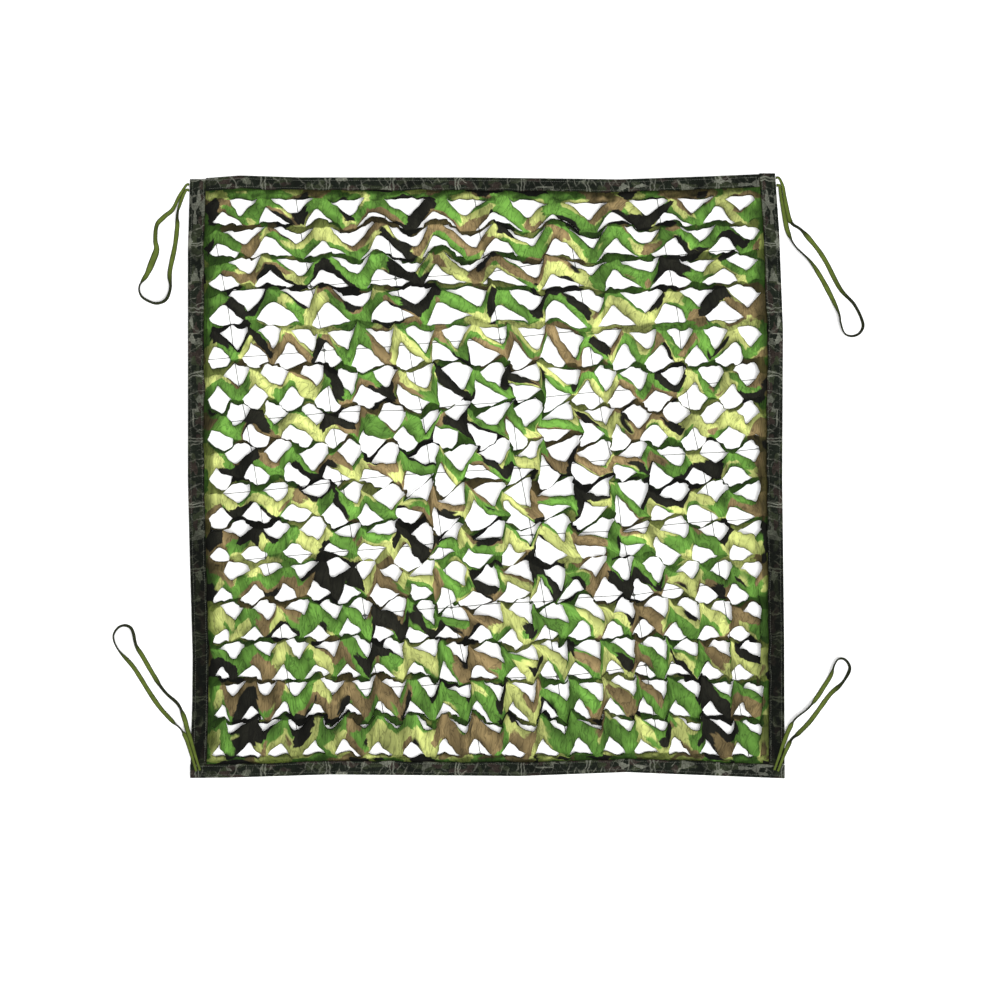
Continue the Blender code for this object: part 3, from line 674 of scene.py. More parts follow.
def printed_cloth(colours):
    """The net's cloth: the camouflage print on its UV map, in metres of flat cloth."""
    material, tree, shader = new_material("cloth")
    place = surface_place(tree)
    inputs = {"Vector": scaled_place(tree, place, PRINT_SCALE)}
    for key, colour in zip(("Ground", *PRINT_EDGES), colours):
        inputs[key] = (*colour, 1.0)
    paint = placed_group(tree, "camouflage_print", print_group, inputs)
    cloth_shader(tree, shader, place, paint["Color"], "net")
    return material


def repeat_marks(tree, place):
    """Masks of the binding's marks, which come round at even steps along the strip: a wedge that
    narrows towards the outer edge, and beyond it a pair of thin lines straight across."""
    axes = add_node(tree, "ShaderNodeSeparateXYZ", {0: place}).outputs
    far = MARKS["stray"]
    stray = value_range(tree, noise(tree, place, MARKS["uneven"], 2.0), -far, far, *NOISE_ENDS)
    across = value_range(tree, axes[1], 0.0, MARKS["wedge"], *MARKS["leg"])
    phase = reckon(tree, "DIVIDE", axes[0], MARKS["repeat"])
    phase = reckon(tree, "FRACT", reckon(tree, "ADD", phase, stray))
    wedge = reckon(tree, "LESS_THAN", phase, across)
    from_pair = reckon(tree, "ABSOLUTE", reckon(tree, "SUBTRACT", phase, MARKS["pair"]))
    from_line = reckon(tree, "ABSOLUTE", reckon(tree, "SUBTRACT", from_pair, MARKS["apart"]))
    return wedge, value_range(tree, from_line, 1.0, 0.0, *MARKS["line"])


def binding_cloth(ground, light, earth, dark, lines):
    """The binding's cloth: dark sharp-edged shards of four colours with thin worn lines. Each
    cell of a crumple takes its colour from its own random values. The lines are the crests of
    two slanting waves that cross, rubbed light where a noise is high."""
    material, tree, shader = new_material("binding")
    place = surface_place(tree)
    inputs = {"Vector": scaled_place(tree, place, SHARD_SCALE)}
    shards = placed_group(tree, "crumple", crumple_group, inputs)
    parts = add_node(tree, "ShaderNodeSeparateColor", {0: shards["Cell"]}).outputs
    wear = noise(tree, place, WORN["wear"], 2.0)
    wear = value_range(tree, wear, 0.0, WORN["strength"], *WORN["rubbed"])
    wedge, pair = repeat_marks(tree, place)
    layers = [(reckon(tree, "MULTIPLY", wedge, MARKS["faint"]), light)]
    for (channel, least), colour in zip(SHARD_EDGES, (light, earth, dark)):
        layers.append((value_range(tree, parts[channel], 0.0, 1.0, least, least + SHARD_SOFT), colour))
    for slant, colour in zip(WORN_SLANTS, (lines, light)):
        turned = add_node(
            tree, "ShaderNodeMapping", {"Vector": place, "Rotation": (0.0, 0.0, np.radians(slant))}
        )
        crest = waves(tree, turned.outputs["Vector"], WORN["scale"], 5.0, detail_scale=2.0)
        crest = value_range(tree, crest, 0.0, 1.0, WORN["crest"], 1.0)
        layers.append((reckon(tree, "MULTIPLY", crest, wear), colour))
    base = plain_colour(tree, ground)
    for mask, colour in (*layers, (pair, light)):
        base = mix(tree, mask, base, colour)
    cloth_shader(tree, shader, place, base, "binding")
    return material


def woven_tape(colour):
    """Olive woven tape: ribs along it, lighter in the middle than at its bound edges, and painted
    shade where it stands on edge."""
    material, tree, shader = new_material("tape")
    place = surface_place(tree)
    ribs = waves(tree, place, TAPE_LOOK["ribs"], 1.2, "Y")
    picks = waves(tree, place, TAPE_LOOK["picks"], 0.8, "DIAGONAL", 1.0)
    dirt = noise(tree, place, TAPE_LOOK["dirt"], 3.0)
    dirt = value_range(tree, dirt, *TAPE_LOOK["tone"], *NOISE_ENDS)
    bound = value_range(tree, attribute(tree, "trim"), 1.0, TAPE_LOOK["bound"], 0.5, 1.0)
    # on_edge is painted shade: darker where the tape stands on edge.
    on_edge = value_range(tree, attribute(tree, "dark"), 1.0, TAPE_LOOK["on_edge"])
    base = plain_colour(tree, colour)
    for tone in (dirt, bound, on_edge):
        base = times(tree, base, tone)
    tree.links.new(base, shader.inputs["Base Color"])
    bump(tree, shader, reckon(tree, "MAXIMUM", ribs, picks), *TAPE_LOOK["bump"])
    return material


def twisted_cord(colour):
    """Dark cord: slanting twist ridges on its UV map, metres along and turns round."""
    material, tree, shader = new_material("cord")
    place = scaled_place(tree, surface_place(tree), (CORD_LOOK["twist"], 1.0))
    ply = waves(tree, place, 0.5, 0.3, "DIAGONAL")
    base = times(tree, plain_colour(tree, colour), value_range(tree, ply, *CORD_LOOK["tone"]))
    tree.links.new(base, shader.inputs["Base Color"])
    bump(tree, shader, ply, *CORD_LOOK["bump"])
    return material


# ---- the tape loops ----


def tape_section(sides):
    """A flat rounded section: a superellipse, as shares of its half width and height."""
    angle = np.arange(sides) * 2 * np.pi / sides
    wide = np.sign(np.cos(angle)) * np.abs(np.cos(angle)) ** 0.5
    high = np.sign(np.sin(angle)) * np.abs(np.sin(angle)) ** 0.6
    return wide, high


def make_tie(name, rows, thick, material):
    """A loop of tape: a flat section carried along the route and turned about it as the tape
    stands on edge. Returns the piece and its centreline in metres."""
    x, y, lift, turned = smooth_route(rows, TAPE_STEP).T
    lift = np.maximum(lift, 0.0) + TAPE_CLEAR
    on_edge = smooth_step((turned - TAPE_TURNS[0]) / TAPE_TURNS[1])
    turned = np.radians(TAPE_STEEPEST * on_edge)
    ahead = np.stack((np.gradient(x), np.gradient(y)), axis=1)
    ahead[0] = np.subtract(rows[1], rows[0])[:2]
    ahead[-1] = np.subtract(rows[-1], rows[-2])[:2]
    ahead /= np.linalg.norm(ahead, axis=1)[:, None]
    from_end = TAPE_STEP * np.minimum(np.arange(len(x)), np.arange(len(x))[::-1])
    half = TAPE_WIDE / 2 * (1 + TAPE_UNEVEN[0] * rumple(x, y, TAPE_UNEVEN[1], SEEDS["tape_width"]))
    half = half * (1 - TAPE_PINCH[0] * (1 - smooth_step(from_end / TAPE_PINCH[1])))
    at_x, at_y, reach, more = TAPE_SWELL.get(name.removeprefix("tape_"), (0.0, 0.0, 1.0, 0.0))
    half = half * (1 + more * np.exp(-((x - at_x) ** 2 + (y - at_y) ** 2) / reach**2))
    height = lift + half * np.sin(turned) + TAPE_MIDDLE * np.cos(turned)
    middle = np.stack((x, y, height), axis=1)
    forward = np.column_stack((ahead, np.zeros(len(x))))
    side = np.stack((-ahead[:, 1] * np.cos(turned), ahead[:, 0] * np.cos(turned), np.sin(turned)), axis=1)
    up = np.cross(forward, side)
    wide, high = tape_section(TAPE_SIDES)
    cup = TAPE_CUP[0] * rumple(x + y, x - y, TAPE_CUP[1], SEEDS["tape_cup"])[:, None] * (1 - wide**2)
    rings = (
        middle[:, None]
        + side[:, None] * (half[:, None] * wide)[:, :, None]
        + up[:, None] * (thick / 2 * high + cup)[:, :, None]
    )
    rings[:, :, 2] = np.maximum(rings[:, :, 2], TAPE_LEAST)
    points, faces = tube(rings * MM)
    along = np.arange(len(x))[:, None] * TAPE_STEP * MM
    uv = np.stack(np.broadcast_arrays(along, wide * TAPE_WIDE / 2 * MM), axis=2)
    # dark carries painted shade where the tape stands on edge.
    trim, dark = np.broadcast_arrays(np.abs(wide), on_edge[:, None])
    return make_piece(name, points, faces, material, uv, trim=trim, dark=dark), middle * MM


# ---- the cord net ----


def knot_places():
    """Where the slanting cords cross, unevenly: an array of rows x columns x 2."""
    up = np.array(CORD_ROWS, dtype=float)[:, None]
    right = np.array(CORD_COLUMNS, dtype=float)[None, :]
    x = (right + CORD_SLANT * up) / (1 - CORD_SLANT * CORD_RISE)
    places = np.stack((x, up + CORD_RISE * x), axis=2)
    rng = np.random.default_rng(SEEDS["knots"])
    return places + rng.uniform(-CORD_UNEVEN, CORD_UNEVEN, places.shape)


def cord_end(side, place):
    """Where a cord from an outermost knot goes in between the binding's legs on a side."""
    x, y = place
    across = side in ("left", "right")
    slope = CORD_RISE if across else CORD_SLANT
    run = inner_side(side, y if across else x) - (x if across else y)
    along = (y if across else x) + slope * run
    tuck = -CORD_TUCK if side in ("left", "bottom") else CORD_TUCK
    reached = inner_side(side, along) + tuck
    return (reached, along) if across else (along, reached)


def make_cord(places, ends, thick):
    """One cord as a round tube through its knots, bowed a little between them, with its ends
    raised between the binding's legs."""
    marks = np.array([ends[0], *places, ends[1]], dtype=float)
    share = np.linspace(0, 1, CORD_STEPS, endpoint=False)[:, None]
    rng = np.random.default_rng(int(abs(marks[0] @ (3, 7))))
    runs = []
    for start, stop in zip(marks, marks[1:]):
        bow = rng.uniform(-CORD_BOW, CORD_BOW) * np.sin(np.pi * share)
        aside = np.array((start[1] - stop[1], stop[0] - start[0])) / np.linalg.norm(stop - start)
        runs.append(start + (stop - start) * share + bow * aside)
    line = np.concatenate(runs + [marks[-1:]])
    ahead = np.gradient(line, axis=0)
    ahead /= np.linalg.norm(ahead, axis=1)[:, None]
    from_end = np.minimum(np.arange(len(line)), np.arange(len(line))[::-1])
    height = thick / 2 + CORD_LIFT * smooth_step(1 - from_end / CORD_LIFT_POINTS)
    angle = np.arange(CORD_SIDES) * 2 * np.pi / CORD_SIDES
    side = np.column_stack((-ahead[:, 1], ahead[:, 0], np.zeros(len(line))))
    rings = np.column_stack((line, height))[:, None] + thick / 2 * (
        side[:, None] * np.cos(angle)[None, :, None] + np.array((0, 0, 1)) * np.sin(angle)[None, :, None]
    )
    lengths = np.concatenate(([0.0], np.cumsum(np.linalg.norm(np.diff(line, axis=0), axis=1)))) * MM
    uv = np.stack(np.broadcast_arrays(lengths[:, None], angle[None, :] / np.pi), axis=2)
    points, faces = tube(rings * MM)
    return points, faces, uv


def make_knot(place, size, turn):
    """A knot: a flattened ball whose surface is wound by slanting ridges, three times round."""
    down = np.linspace(KNOT["cap"], np.pi - KNOT["cap"], KNOT["rows"])[:, None]
    round_it = np.arange(KNOT["sides"])[None, :] * 2 * np.pi / KNOT["sides"]
    reach = size * (1 + KNOT["ridge"] * np.sin(3 * round_it + 5 * down + turn))
    x = reach * np.sin(down) * np.cos(round_it + turn)
    y = KNOT["narrow"] * reach * np.sin(down) * np.sin(round_it + turn)
    z = KNOT["flat"] * (size * (1 + KNOT["ridge"]) - reach * np.cos(down))
    rings = np.stack(np.broadcast_arrays(x + place[0], y + place[1], z), axis=2)
    uv = np.stack(np.broadcast_arrays(down * 0.004, round_it / np.pi), axis=2)
    points, faces = tube(rings * MM)
    return points, faces, uv


def make_backing(thick, material):
    """All the cords and knots of the net behind the cloth, as one piece."""
    places = knot_places()
    parts = []
    for row in places:
        parts.append(make_cord(row, (cord_end("left", row[0]), cord_end("right", row[-1])), thick))
    for column in places.transpose(1, 0, 2):
        parts.append(make_cord(column, (cord_end("top", column[0]), cord_end("bottom", column[-1])), thick))
    rng = np.random.default_rng(SEEDS["cords"])
    for place in places.reshape(-1, 2):
        parts.append(make_knot(place, rng.uniform(*KNOT["size"]), rng.uniform(0, 6.28)))
    points, faces, uvs, start = [], [], [], 0
    for part_points, part_faces, uv in parts:
        points.append(part_points)
        uvs.append(uv.reshape(-1, 2))
        faces += [tuple(corner + start for corner in face) for face in part_faces]
        start += len(part_points)
    return make_piece("cord_net", np.concatenate(points), faces, material, np.concatenate(uvs))


# ---- the binding ----


def binding_span(side):
    """Where a strip starts and stops along its side: the sides run up to the top corners, the
    top butts between them, and the bottom runs full width."""
    lowest = OUTLINE["left"][0][0]
    if side == "bottom":
        return side_at("left", lowest), side_at("right", lowest)
    if side == "top":
        heights = np.array(TOP_STRIP)
        return inner_side("left", heights).max() + BUTT, inner_side("right", heights).min() - BUTT
    outer = side_at(side, lowest)
    inner = inner_side(side, lowest)
    foot = max(inner_side("bottom", outer), inner_side("bottom", inner)) + BUTT
    return foot, side_at("top", outer)


def binding_surface(side, along, share):
    """The strip's outer surface at places along it and shares round its section, in mm.

    Share 0 is the lower leg's inner edge, then the fold starts and stops, and 1 is the upper
    leg's inner edge. The lower leg is flat on the ground. The upper leg is puckered by two sums
    of waves, long slanting ridges and finer ones across them, less a bell curve at each row of
    stitches. The fold is half a turn of a circle.
    """
    start, stop = binding_span(side)
    width = BINDING_WIDTH[side]
    seed = SEEDS["binding"] + sorted(OUTLINE).index(side)
    end = smooth_step((np.minimum(along - start, stop - along) - CORNER_FLAT[0]) / CORNER_FLAT[1])
    fold = np.clip((share - FOLD[0]) / (FOLD[1] - FOLD[0]), 0, 1)
    upper = np.clip((share - FOLD[1]) / (1 - FOLD[1]), 0, 1)
    lower = np.clip(share / FOLD[0], 0, 1)
    across = (width - FOLD_DEEP) * (lower - upper) + FOLD_DEEP * np.sin(np.pi * fold)
    height = BINDING_HIGH / 2 * (1 - np.cos(np.pi * fold))
    free = smooth_step(upper * 6) * (CORNER_RISE + (1 - CORNER_RISE) * end)
    slant, cross = (
        rumple(along + lean * across, across * stretch, length, seed + more, waves_of)
        for (lean, stretch, length, waves_of), more in zip(RIDGES, (0, 10))
    )
    seams = (SEAMS[0], width - SEAMS[1])
    rows = sum(np.exp(-(((across - seam) / SEAM_DIP[1]) ** 2)) for seam in seams)
    rise = PUCKER[0] + PUCKER[1] * slant + PUCKER[2] * cross
    height = height + free * rise * (1 - SEAM_DIP[0] * np.clip(rows, 0, 1))
    bulge = free * BULGE[0] * rumple(along, across, BULGE[1], seed + 20)
    outward = -1 if side in ("left", "bottom") else 1
    place = inner_side(side, along) + outward * (across + bulge * (upper > 0.8) * (end > 0.9))
    height = np.maximum(height, 0.0)
    planes = (place, along, height) if side in ("left", "right") else (along, place, height)
    return np.stack(np.broadcast_arrays(*planes), axis=-1)


def make_binding(side, material):
    """One folded strip: its outer surface as a grid, thickened inwards."""
    start, stop = binding_span(side)
    stations = int((stop - start) / STRIP_STEP) + 1
    along = np.linspace(start, stop, stations)[:, None]
    lower, fold, upper = (
        np.linspace(*ends, rows) for ends, rows in zip(((0, FOLD[0]), FOLD, (FOLD[1], 1)), FOLD_ROWS)
    )
    share = np.concatenate((lower[:-1], fold[:-1], upper))
    points = binding_surface(side, along + np.zeros(len(share)), share[None, :] + np.zeros((stations, 1)))
    faces = grid_faces(stations, len(share))
    if side in ("right", "bottom"):
        faces = faces[:, ::-1]
    width = BINDING_WIDTH[side] * 2 * MM
    uv = np.stack(np.broadcast_arrays(along * MM, share[None, :] * width), axis=2)
    trim = np.broadcast_to(np.where(share > 0.995, 1.0, 0.0), (stations, len(share)))
    low = smooth_step(-points[:, :, 1] / BINDING_DARKENS) if side in ("left", "right") else 0.0
    dark = BINDING_SHADE[1] * low + BINDING_SHADE[0] + 0 * trim
    piece = make_piece("binding_cloth_" + side, points * MM, faces, material, uv, trim=trim, dark=dark)
    wall = piece.modifiers.new("thickness", "SOLIDIFY")
    wall.thickness = STRIP_WALL * MM
    wall.offset = -1.0
    return piece


def make_stitches(material):
    """Rows of lockstitch along the binding's two seams: each stitch is a small round bar that
    sinks into the cloth at both ends."""
    rng = np.random.default_rng(SEEDS["stitches"])
    angle = np.arange(STITCH["sides"]) * 2 * np.pi / STITCH["sides"]
    shape = np.array(STITCH["bends"])
    sink = STITCH["sink"] * np.array((-1, 1, 1, -1))
    everything = []
    for side in sorted(OUTLINE):
        start, stop = binding_span(side)
        for inset in (SEAMS[0], BINDING_WIDTH[side] - SEAMS[1]):
            share = 1.0 - (1 - FOLD[1]) * inset / (BINDING_WIDTH[side] - FOLD_DEEP)
            first = np.arange(start + STITCH["margin"], stop - STITCH["margin"], STITCH["pitch"])
            along = first[:, None] + shape * STITCH["length"]
            sway = rng.uniform(-STITCH["uneven"], STITCH["uneven"], len(first))[:, None]
            line = binding_surface(side, along, share + sway + np.zeros(along.shape))
            line[:, :, 2] += sink
            ahead = line[:, -1] - line[:, 0]
            ahead /= np.linalg.norm(ahead, axis=1)[:, None]
            aside = np.cross((0, 0, 1), ahead)
            up = np.cross(ahead, aside)
            ring = (
                aside[:, None, None] * np.cos(angle)[None, None, :, None]
                + up[:, None, None] * np.sin(angle)[None, None, :, None]
            )
            everything.append(line[:, :, None] + ring * STITCH["thick"] / 2)
    rings = np.concatenate(everything)
    count, rounds, sides = rings.shape[:3]
    one = grid_faces(rounds, sides, around=True)
    faces = (one[None] + (np.arange(count) * rounds * sides)[:, None, None]).reshape(-1, 4)
    return make_piece("binding_stitches", rings.reshape(-1, 3) * MM, faces, material)


# ---- the slit cloth ----


def slit_columns(columns):
    """Where the lattice's columns lie, in repeats, how much of a crest each is, and its turn.

    At a crest (1) a zigzag is joined to the strand above it, at a trough (0) to the strand
    below it, and an arm (0.5) runs between. The turn is -1 at a bond's left end, 1 at its right
    end and 0 on an arm. The first and last columns are the cloth's sides.
    """
    repeat = (
        (BOND, 1, 1), (0.25, 0.5, 0), (0.5 - BOND, 0, -1), (0.5 + BOND, 0, 1), (0.75, 0.5, 0),
        (1 - BOND, 1, -1),
    )
    every = [(start + place, *rest) for start in range(-1, columns) for place, *rest in repeat]
    low = -SIDE_PHASE
    high = columns - SIDE_PHASE
    kept = [entry for entry in every if low - BOND / 9 < entry[0] < high + BOND / 9]
    return np.array(kept, dtype=float).T


def relief_share(line, crest):
    """How much of the relief a line takes: its share at a trough, and more towards a crest."""
    trough, more = RISE[line]
    return trough + more * crest


def lattice_lines(rows, crest, turn, share):
    """Depth and height of each line of the lattice from the top binding's edge down.

    Each zigzag's upper edge hangs from the strand above at a crest, and its lower edge meets the
    strand below at a trough. The sheet climbs across a strand and falls along the zigzag under
    it. A bond is turned with the zone's skew: one end of it lies lower than the other. Depths are
    mm down from the top binding, heights mm above the sheet's lowest.
    """
    pitch = np.ones(rows)
    pitch[: round(rows * TIGHT_ROWS)] = TIGHT_PITCH
    unit = (TALL - HEADER - FOOTER) / (pitch.sum() - np.mean(STRAND[-1]))
    level = HEADER + unit * np.concatenate(([0.0], np.cumsum(pitch)))
    joining = block_bounds(rows)
    flat = np.zeros(len(crest))
    foot = flat + level[0]
    relief = zone(RELIEF, share, flat)
    twist = ARM_TWIST * (turn == 0) * np.sign(np.roll(crest, 1) - crest)
    twist[[0, -1]] = 0
    depths = [flat, foot]
    heights = [flat, RISE["header"][0] * relief]
    for row in range(rows):
        down = flat + level[row] / TALL
        ribbon = zone(RIBBON, share, down) * unit
        relief = zone(RELIEF, share, down)
        held = JOINING_WAVE if row + 1 in joining else 1.0
        tilt = held * turn * BOND_TILT * zone(SKEW, share, down)
        wave = held * zone(WAVE, share, down) * (2 * crest - 1)
        last = row == rows - 1
        strand = zone(STRAND, share, down) + JOINING_STRAND * (row + 1 in joining and not last)
        below = level[row + 1] - strand * unit + (wave + tilt) * (not last)
        depths += [crest * (foot + tilt * (row > 0)) + (1 - crest) * (below - ribbon)]
        depths += [crest * (foot + ribbon) + (1 - crest) * below, below]
        heights += [relief_share("upper", crest) * relief + twist]
        heights += [relief_share("lower", crest) * relief - twist, flat]
        if not last:
            foot = level[row + 1] + wave + tilt
            depths += [foot]
            heights += [relief_share("strand_foot", crest) * relief]
    return np.array(depths + [flat + TALL]), np.array(heights + [flat])


def spread_across(columns, places, crest, turn, down, lower):
    """Share of the net's width at each column of a line: the running sum of the zone's periods.

    Troughs move sideways by the zone's skew, which makes one arm of a zigzag long and one short.
    A zigzag's free edge turns in a narrow tip across from its bond, so there the bond's two
    columns close up on their middle. Arms' columns stay halfway between their neighbours.
    lower is 0 for a zigzag's upper edge, 1 for its lower edge and None for any other line.
    """
    share = (places + SIDE_PHASE) / columns
    middles = (np.arange(columns) + 0.5) / columns
    periods = zone(PERIOD, middles, np.full(columns, down))
    marks = np.concatenate(([0.0], np.cumsum(periods))) / periods.sum()
    skew = np.clip(np.minimum(share, 1 - share) * columns * 4, 0, 1) * zone(SKEW, share, down + 0 * share)
    moved = places + SIDE_PHASE + (1 - crest) * skew
    if lower is not None:
        free = crest if lower else 1 - crest
        moved = moved - turn * BOND * (1 - TIP) * free
    arms = np.flatnonzero(turn[1:-1] == 0) + 1
    moved[arms] = (moved[arms - 1] + moved[arms + 1]) / 2
    return np.interp(moved, np.arange(columns + 1), marks)


def lattice_points(columns, rows):
    """Where the lattice's lines meet its columns: an array of lines x columns x 3, in mm, and
    each column's share of the flat sheet's width, crest and turn. Beside the lattice's first and
    last columns come the binding's inner edge and the sheet's own edge between its legs."""
    places, crest, turn = slit_columns(columns)
    share = (places + SIDE_PHASE) / columns
    depths, heights = lattice_lines(rows, crest, turn, share)
    lines, count = depths.shape
    down = depths / TALL
    edges = [None, None] + [0, 1, None, None] * rows
    across = np.array([
        spread_across(columns, places, crest, turn, row.mean(), edge) for row, edge in zip(down, edges)
    ])
    loose = np.random.default_rng(SEEDS["lattice"]).uniform(-1, 1, (3, lines, count))
    loose[:, [0, -1], :] = 0
    loose[:, :, [0, -1]] = 0
    x = (across - 0.5) * 2 * side_at("right", 0.0)
    y = (0.5 - down) * TALL
    left, right = (
        inner_side(side, y) + inward * (SELVEDGE[0] + SELVEDGE[1] * rumple(y, 0 * y, SELVEDGE[2], seed))
        for side, inward, seed in (("left", 1, SEEDS["selvedge"]), ("right", -1, SEEDS["selvedge"] + 1))
    )
    top = inner_side("top", x)
    x = left + (right - left) * across + loose[0] * UNEVEN[0] * TALL / columns
    y = top + (inner_side("bottom", x) - top) * down + loose[1] * UNEVEN[1]
    fade = np.sin(np.pi * down) * np.sin(np.pi * across)
    aside = SWAY[0] * np.sin(y / SWAY[1] - x / SWAY[2])
    aside = aside + WANDER[0] * rumple(0.5 * x, y, WANDER[1], SEEDS["wander"])
    upward = SWAY[0] * np.sin(x / SWAY[1] + y / SWAY[2])
    upward = upward + WANDER[0] * rumple(x, 0.5 * y, WANDER[1], SEEDS["wander"] + 1)
    x = x + fade * aside
    y = y + fade * upward
    z = CLOTH_LOW + heights + (loose[2] + 1) * UNEVEN[2]
    z[[0, -1], :] = CLOTH_IN_BINDING
    net = np.stack((x, y, z), axis=2)
    net = np.concatenate((net[:1], net, net[-1:]), axis=0)
    net[0, :, 1] = side_at("top", net[0, :, 0]) - CLOTH_TUCK
    net[-1, :, 1] = side_at("bottom", net[-1, :, 0]) + CLOTH_TUCK
    net = np.concatenate((net[:, :1], net[:, :1], net, net[:, -1:], net[:, -1:]), axis=1)
    for column, side, inward in ((0, "left", CLOTH_TUCK), (-1, "right", -CLOTH_TUCK)):
        beside = 1 if column == 0 else -2
        net[:, column, 0] = side_at(side, net[:, column, 1]) + inward
        net[:, beside, 0] = inner_side(side, net[:, beside, 1])
        net[:, [column, beside], 2] = CLOTH_IN_BINDING
    far, near = FLAT_SIDES
    share = np.concatenate(((-far, -near), share, (1 + near, 1 + far)))
    return net, np.stack((share, np.pad(crest, 2, "edge"), np.pad(turn, 2)))


def pinch_strands(net, turn):
    """Where a strand hangs free of both neighbours it twists and narrows: its two edges move
    towards each other by an uneven share."""
    rng = np.random.default_rng(SEEDS["cloth"])
    free = (turn == 0).astype(float)
    free[[0, 1, 2, -3, -2, -1]] = 0
    for upper in range(5, len(net) - 2, 4):
        share = free * rng.uniform(*PINCH, len(turn)) / 2
        middle = net[upper + 1] - net[upper]
        net[upper] += middle * share[:, None]
        net[upper + 1] -= middle * share[:, None]
    return net


def round_slits(net, bonded_lines, rounds):
    """Slit edges bend in smooth curves: each free point moves to the mean of itself and its
    neighbours along the line, over and over, while the bonds stay put."""
    for line, bonded, count in zip(range(len(net)), bonded_lines, rounds):
        for _ in range(count):
            row = net[line]
            mean = row * 0.5
            mean[1:-1] += (row[:-2] + row[2:]) * 0.25
            mean[[0, -1]] = row[[0, -1]]
            net[line] = np.where(bonded[:, None], row, mean)
    return net


def to_binding(x, y):
    """How far a place on the net is from the binding's inner edge at the nearer of the left and
    right sides, and at the nearer of the top and bottom."""
    to_side = np.minimum(x - inner_side("left", y), inner_side("right", y) - x)
    to_end = np.minimum(inner_side("top", x) - y, y - inner_side("bottom", x))
    return to_side, to_end


def cloth_grid(columns, rows):
    """The lattice's lines with fine columns: the points, which are bonded, how open the slit at
    each line is (0 to 1), each column's share of the width, and where a steep arm climbs (1).

    Lines go tuck, edge, header's foot, then for each row the zigzag's two edges and the next
    strand's two. So a slit lies after every second line from the header's foot on.
    """
    net, (places, crest, turn) = lattice_points(columns, rows)
    net = pinch_strands(net, turn)
    lines, count = net.shape[:2]
    from_side = np.minimum(np.arange(count), np.arange(count)[::-1])
    side = (from_side < 3).astype(float)
    steps = np.where(np.diff(crest) == 0, STEPS["bond"], STEPS["arm"])
    steps[[0, 1, -2, -1]] = (*STEPS["left"], *STEPS["right"])
    rise = (turn == 0) & (np.roll(crest, -1) > crest)
    fine_places, fine_crest, fine_side, rise = refine(np.stack((places, crest, side, rise)), steps)
    fine_side = fine_side > 0.999
    bonded_lines = np.ones((lines, steps.sum() + 1), dtype=bool)
    open_lines = np.zeros(bonded_lines.shape)
    fade = refine(np.clip(from_side[None, :] - 2.0, 0, 1), steps)[0]
    smoothing = np.zeros(lines, dtype=int)
    for upper in range(2, lines - 3, 2):
        bonded_at = 1 if (upper - 2) % 4 == 0 else 0
        bonded = (side == 1) | (crest == bonded_at)
        middle = (net[upper, bonded] + net[upper + 1, bonded]) / 2
        net[upper, bonded] = middle
        net[upper + 1, bonded] = middle
        away = np.abs(fine_crest - bonded_at)
        bonded_lines[[upper, upper + 1]] = fine_side | (away < 0.001)
        open_lines[[upper, upper + 1]] = smooth_step(away * 3) * fade
        zigzag, strand = (upper + 1, upper) if bonded_at == 1 else (upper, upper + 1)
        smoothing[[zigzag, strand]] = ROUNDS
    fine = round_slits(refine(net, steps), bonded_lines, smoothing)
    return fine, bonded_lines, open_lines, fine_places, rise


def block_bounds(rows):
    """The first row of each block of rows, and the number of rows at the end."""
    return [0] + [round(share * rows) for share in np.cumsum([block[1] for block in BLOCKS])]


def block_bands(first, last, rows):
    """A block's strips of cloth between two of the lattice's lines, from the top: kind and
    lines. The strand between two blocks is two strips, which meet on its middle, line None."""
    bands = [("tuck", 0, 1), ("header", 1, 2)] if first == 0 else [("strand_foot", None, 4 * first + 2)]
    for row in range(first, last):
        bands += [("zigzag", 4 * row + 3, 4 * row + 4), ("strand", 4 * row + 5, 4 * row + 6)]
    foot = 4 * last + 1
    if last < rows:
        return bands[:-1] + [("strand_top", foot, None)]
    return bands[:-1] + [("header", foot, foot + 1), ("tuck", foot + 1, foot + 2)]


def halfway(line, other):
    """The middle between each point of a line and the place straight above or below it on
    another line, which has columns of its own."""
    reach = np.maximum.accumulate(other[:, 0])
    met = np.stack([np.interp(line[:, 0], reach, other[:, axis]) for axis in (1, 2)], axis=1)
    return np.column_stack((line[:, 0], (line[:, 1:] + met) / 2))


def zip_rows(upper, lower, upper_x, lower_x):
    """Triangles between two rows of point numbers whose columns differ. The columns of both are
    taken in order from left to right, and each adds the triangle on its own side."""
    steps = np.concatenate((np.maximum.accumulate(upper_x)[1:], np.maximum.accumulate(lower_x)[1:]))
    on_upper = np.argsort(steps, kind="stable") < len(upper_x) - 1
    above = np.cumsum(on_upper)
    below = np.cumsum(~on_upper)
    first = np.where(on_upper, upper[above - 1], upper[above])
    second = np.where(on_upper, lower[below], lower[below - 1])
    third = np.where(on_upper, upper[above], lower[below])
    return np.stack((first, second, third), axis=1)


